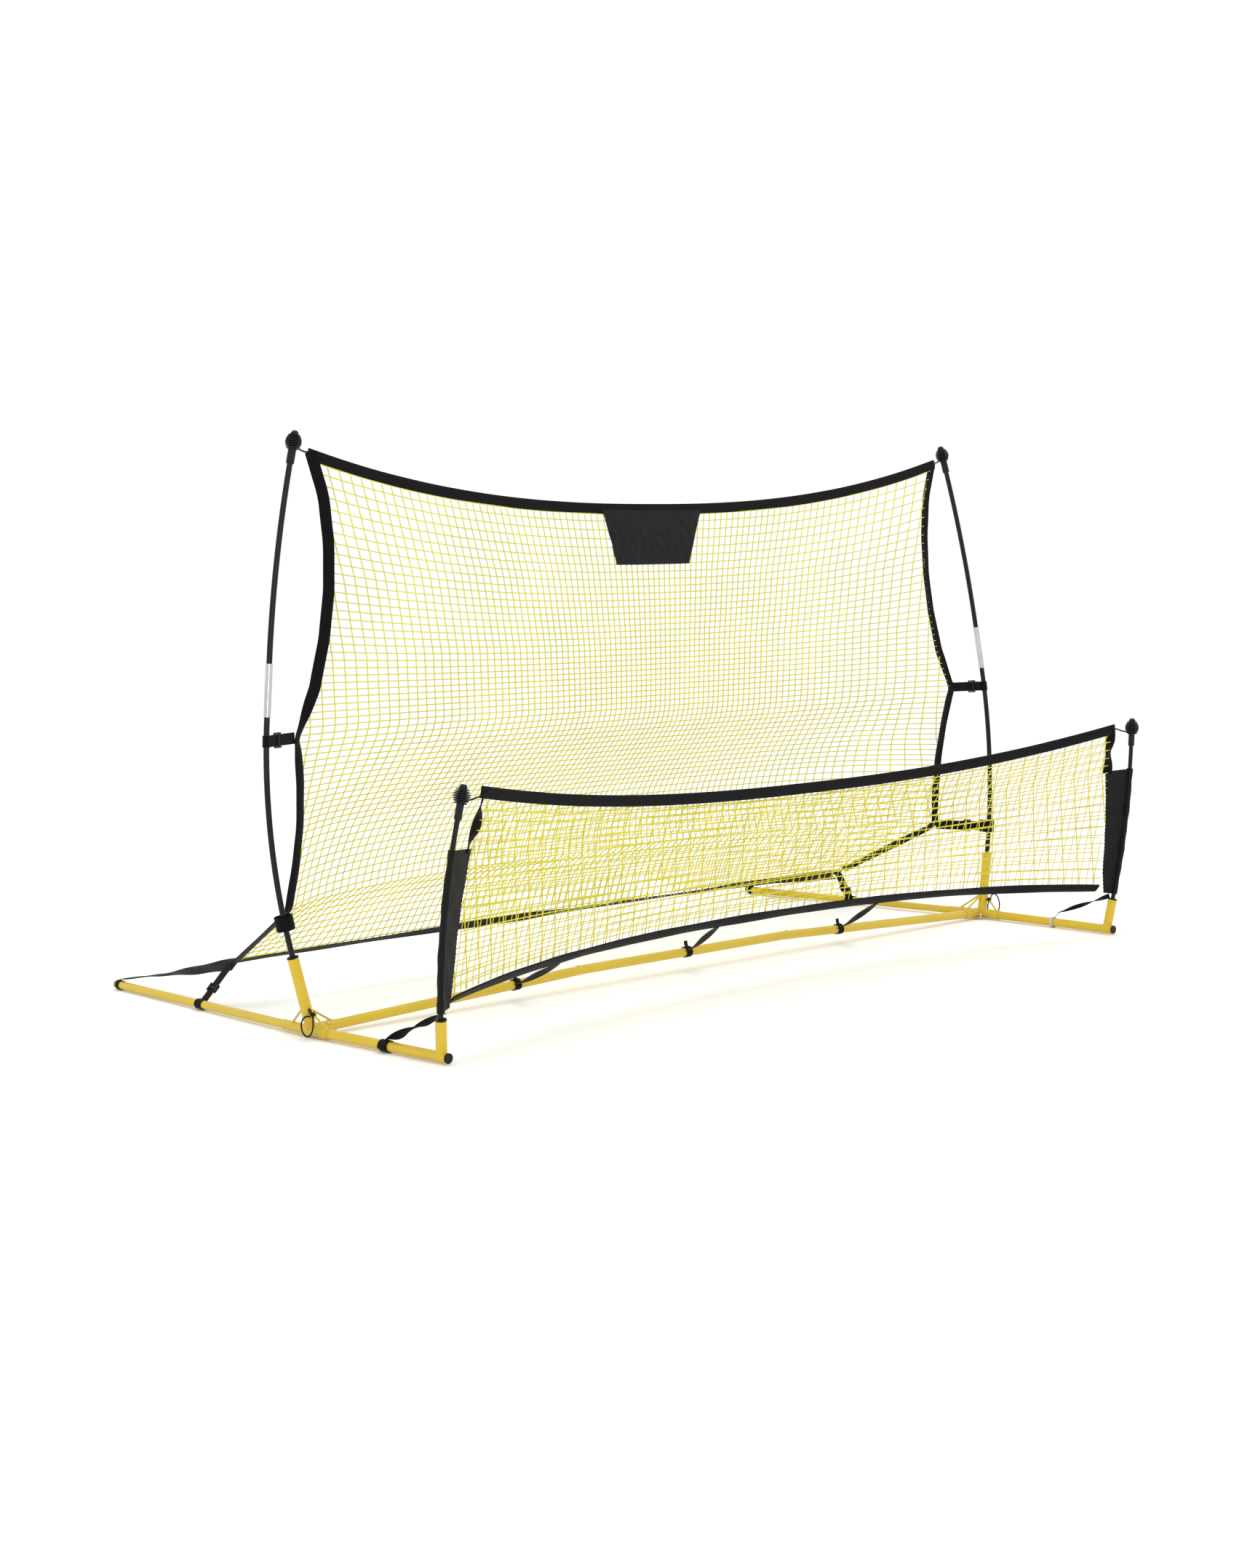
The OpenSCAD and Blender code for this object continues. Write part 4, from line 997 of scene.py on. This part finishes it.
def foot_ties():
    """Left: a tape wound on the front foot. Right: white cord wound on it and tied to a tape."""
    foot_x, y, foot_z = 1.2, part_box("left_foot_strap")[1].y - 12.5 * MM, 0.0117
    tube = np.array([foot_x, y, foot_z])
    grid = strap_grid(tube + (0, -4 * MM, 13.0 * MM), LOW_TIE, X_AXIS, X_AXIS, (20 * MM, 12 * MM), 80,
                      twist=2 * math.pi, bulge=1.2 * MM)
    wound = loop_grid(tube, np.array([0, 1.0, 0.0035]), Z_AXIS, BAR_LOOP, BAND, 1.3)
    tape = cloth("left_foot_tape", mirrored(grid, -1), THIN_TAPE, WEB)
    loop = cloth("left_front_loop", mirrored(wound, -1), TAPE, WEB)
    for piece in (tape, loop):
        ride(piece, "black_webbing", "left_foot_strap")
    radius, steps = 12.9 * MM, 4 * 36
    turns = []
    for k in range(steps + 1):
        ang = math.radians(k * 10 + 90)
        along = y + 0.0089 * (k / steps) - 0.0005
        turns.append((foot_x + radius * math.cos(ang), along, foot_z + radius * math.sin(ang)))
    turns = np.array(turns)
    lift = smooth_path([turns[0] + np.array(p) * MM for p in ((0, -1, 1), (-2, -9, 7), (-4, -17, 15))], 14)
    cord = tubes("right_cord", [turns, lift], 1.5 * MM, 10, CORD)
    start = turns[0] + (-4 * MM, -18 * MM, 16 * MM)
    grid = strap_grid(start, LOW_TIE, X_AXIS, X_AXIS, (10 * MM, 13 * MM), 60,
                      twist=math.pi * 1.5, bulge=0.8 * MM)
    tape = cloth("right_foot_tape", grid, THIN_TAPE, WEB)
    ride(cord, "white_cord", "right_tie_cord")
    ride(tape, "black_webbing", "right_tie_cord")


def cap_ties():
    """Short cords that tie each top border to its pole's cap."""
    short_tip = anchor(1.2036, -0.6265, 0.5363)
    paths = []
    for side in (-1, 1):
        for net_corner, tip in ((EDGE_TOP, TIP), (LOW_CORNER, short_tip)):
            a = net_corner + (0.001, 0, -0.010)
            b = tip + (-0.011, 0, 0.004)
            path = smooth_path([a + (-0.012, 0, 0.002), a, (a + b) / 2 + (0, 0, -0.0015), b], 24)
            paths.append(mirrored(path, side))
    ride(tubes("cap_ties", paths, 1.9 * MM, 10, ELASTIC), "black_elastic")


side_straps()
corner_tails()
bar_straps()
foot_ties()
cap_ties()


# ---------------------------------------------------------------- finishes on the frame's own pieces

def dress():
    """Each CAD piece that shows gets the finish that a part of its name stands for."""
    finish = {
        "corner_fitting": YELLOW, "rear_tube": YELLOW, "front_tube": YELLOW, "crossbar": YELLOW,
        "pole_socket": YELLOW, "lower_pole": POLE, "upper_pole": POLE, "short_pole": POLE,
        "ferrules": STEEL, "button": ZINC, "buckle": PLASTIC, "end_caps": PLASTIC, "tall_cap": PLASTIC,
        "short_cap": PLASTIC, "bushes": BUSH, "elastic_rings": PLASTIC,
    }
    for name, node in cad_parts.items():
        for word, material in finish.items():
            if word in name and "strap" not in name:
                node.data.materials.clear()
                node.data.materials.append(material)
                break


dress()


# ---------------------------------------------------------------- stage

def stage():
    """A pale floor, a white surround and three narrow lamps."""
    floor_mesh = bpy.data.meshes.new("floor")
    floor_mesh.from_pydata([(-30, -30, 0), (30, -30, 0), (30, 30, 0), (-30, 30, 0)], [], [(0, 1, 2, 3)])
    floor = bpy.data.objects.new("floor", floor_mesh)
    floor.location.z = cad_box[0].z
    bpy.context.scene.collection.objects.link(floor)
    p = Paint("floor_pale", Roughness=0.9, Specular_IOR_Level=0.1)
    p.feed(Base_Color=p.blend(p.grain(p.place(), 2.0), (0.98, 0.98, 0.98), (0.99, 0.99, 0.99)))
    floor_mesh.materials.append(p.material)
    world = bpy.data.worlds.new("studio")
    bpy.context.scene.world = world
    world.use_nodes = True
    background = world.node_tree.nodes["Background"]
    background.inputs["Color"].default_value = (1, 1, 1, 1)
    background.inputs["Strength"].default_value = 1.05
    lamps = (("key", (-4.0, -4.5, 2.6), 0.35, 42), ("fill", (4.5, -3.5, 2.6), 0.35, 26),
             ("top", (0.0, 0.5, 4.5), 2.0, 40))
    for name, place, size, power in lamps:
        light = bpy.data.lights.new(name, "AREA")
        light.shape = "RECTANGLE"
        light.size, light.size_y, light.energy = size, 3.2, power
        lamp = bpy.data.objects.new(name, light)
        lamp.location = place
        lamp.rotation_euler = (Vector((0, 0, 0.5)) - Vector(place)).to_track_quat("-Z", "Y").to_euler()
        bpy.context.scene.collection.objects.link(lamp)
    bpy.context.scene.view_settings.view_transform = "Standard"


stage()
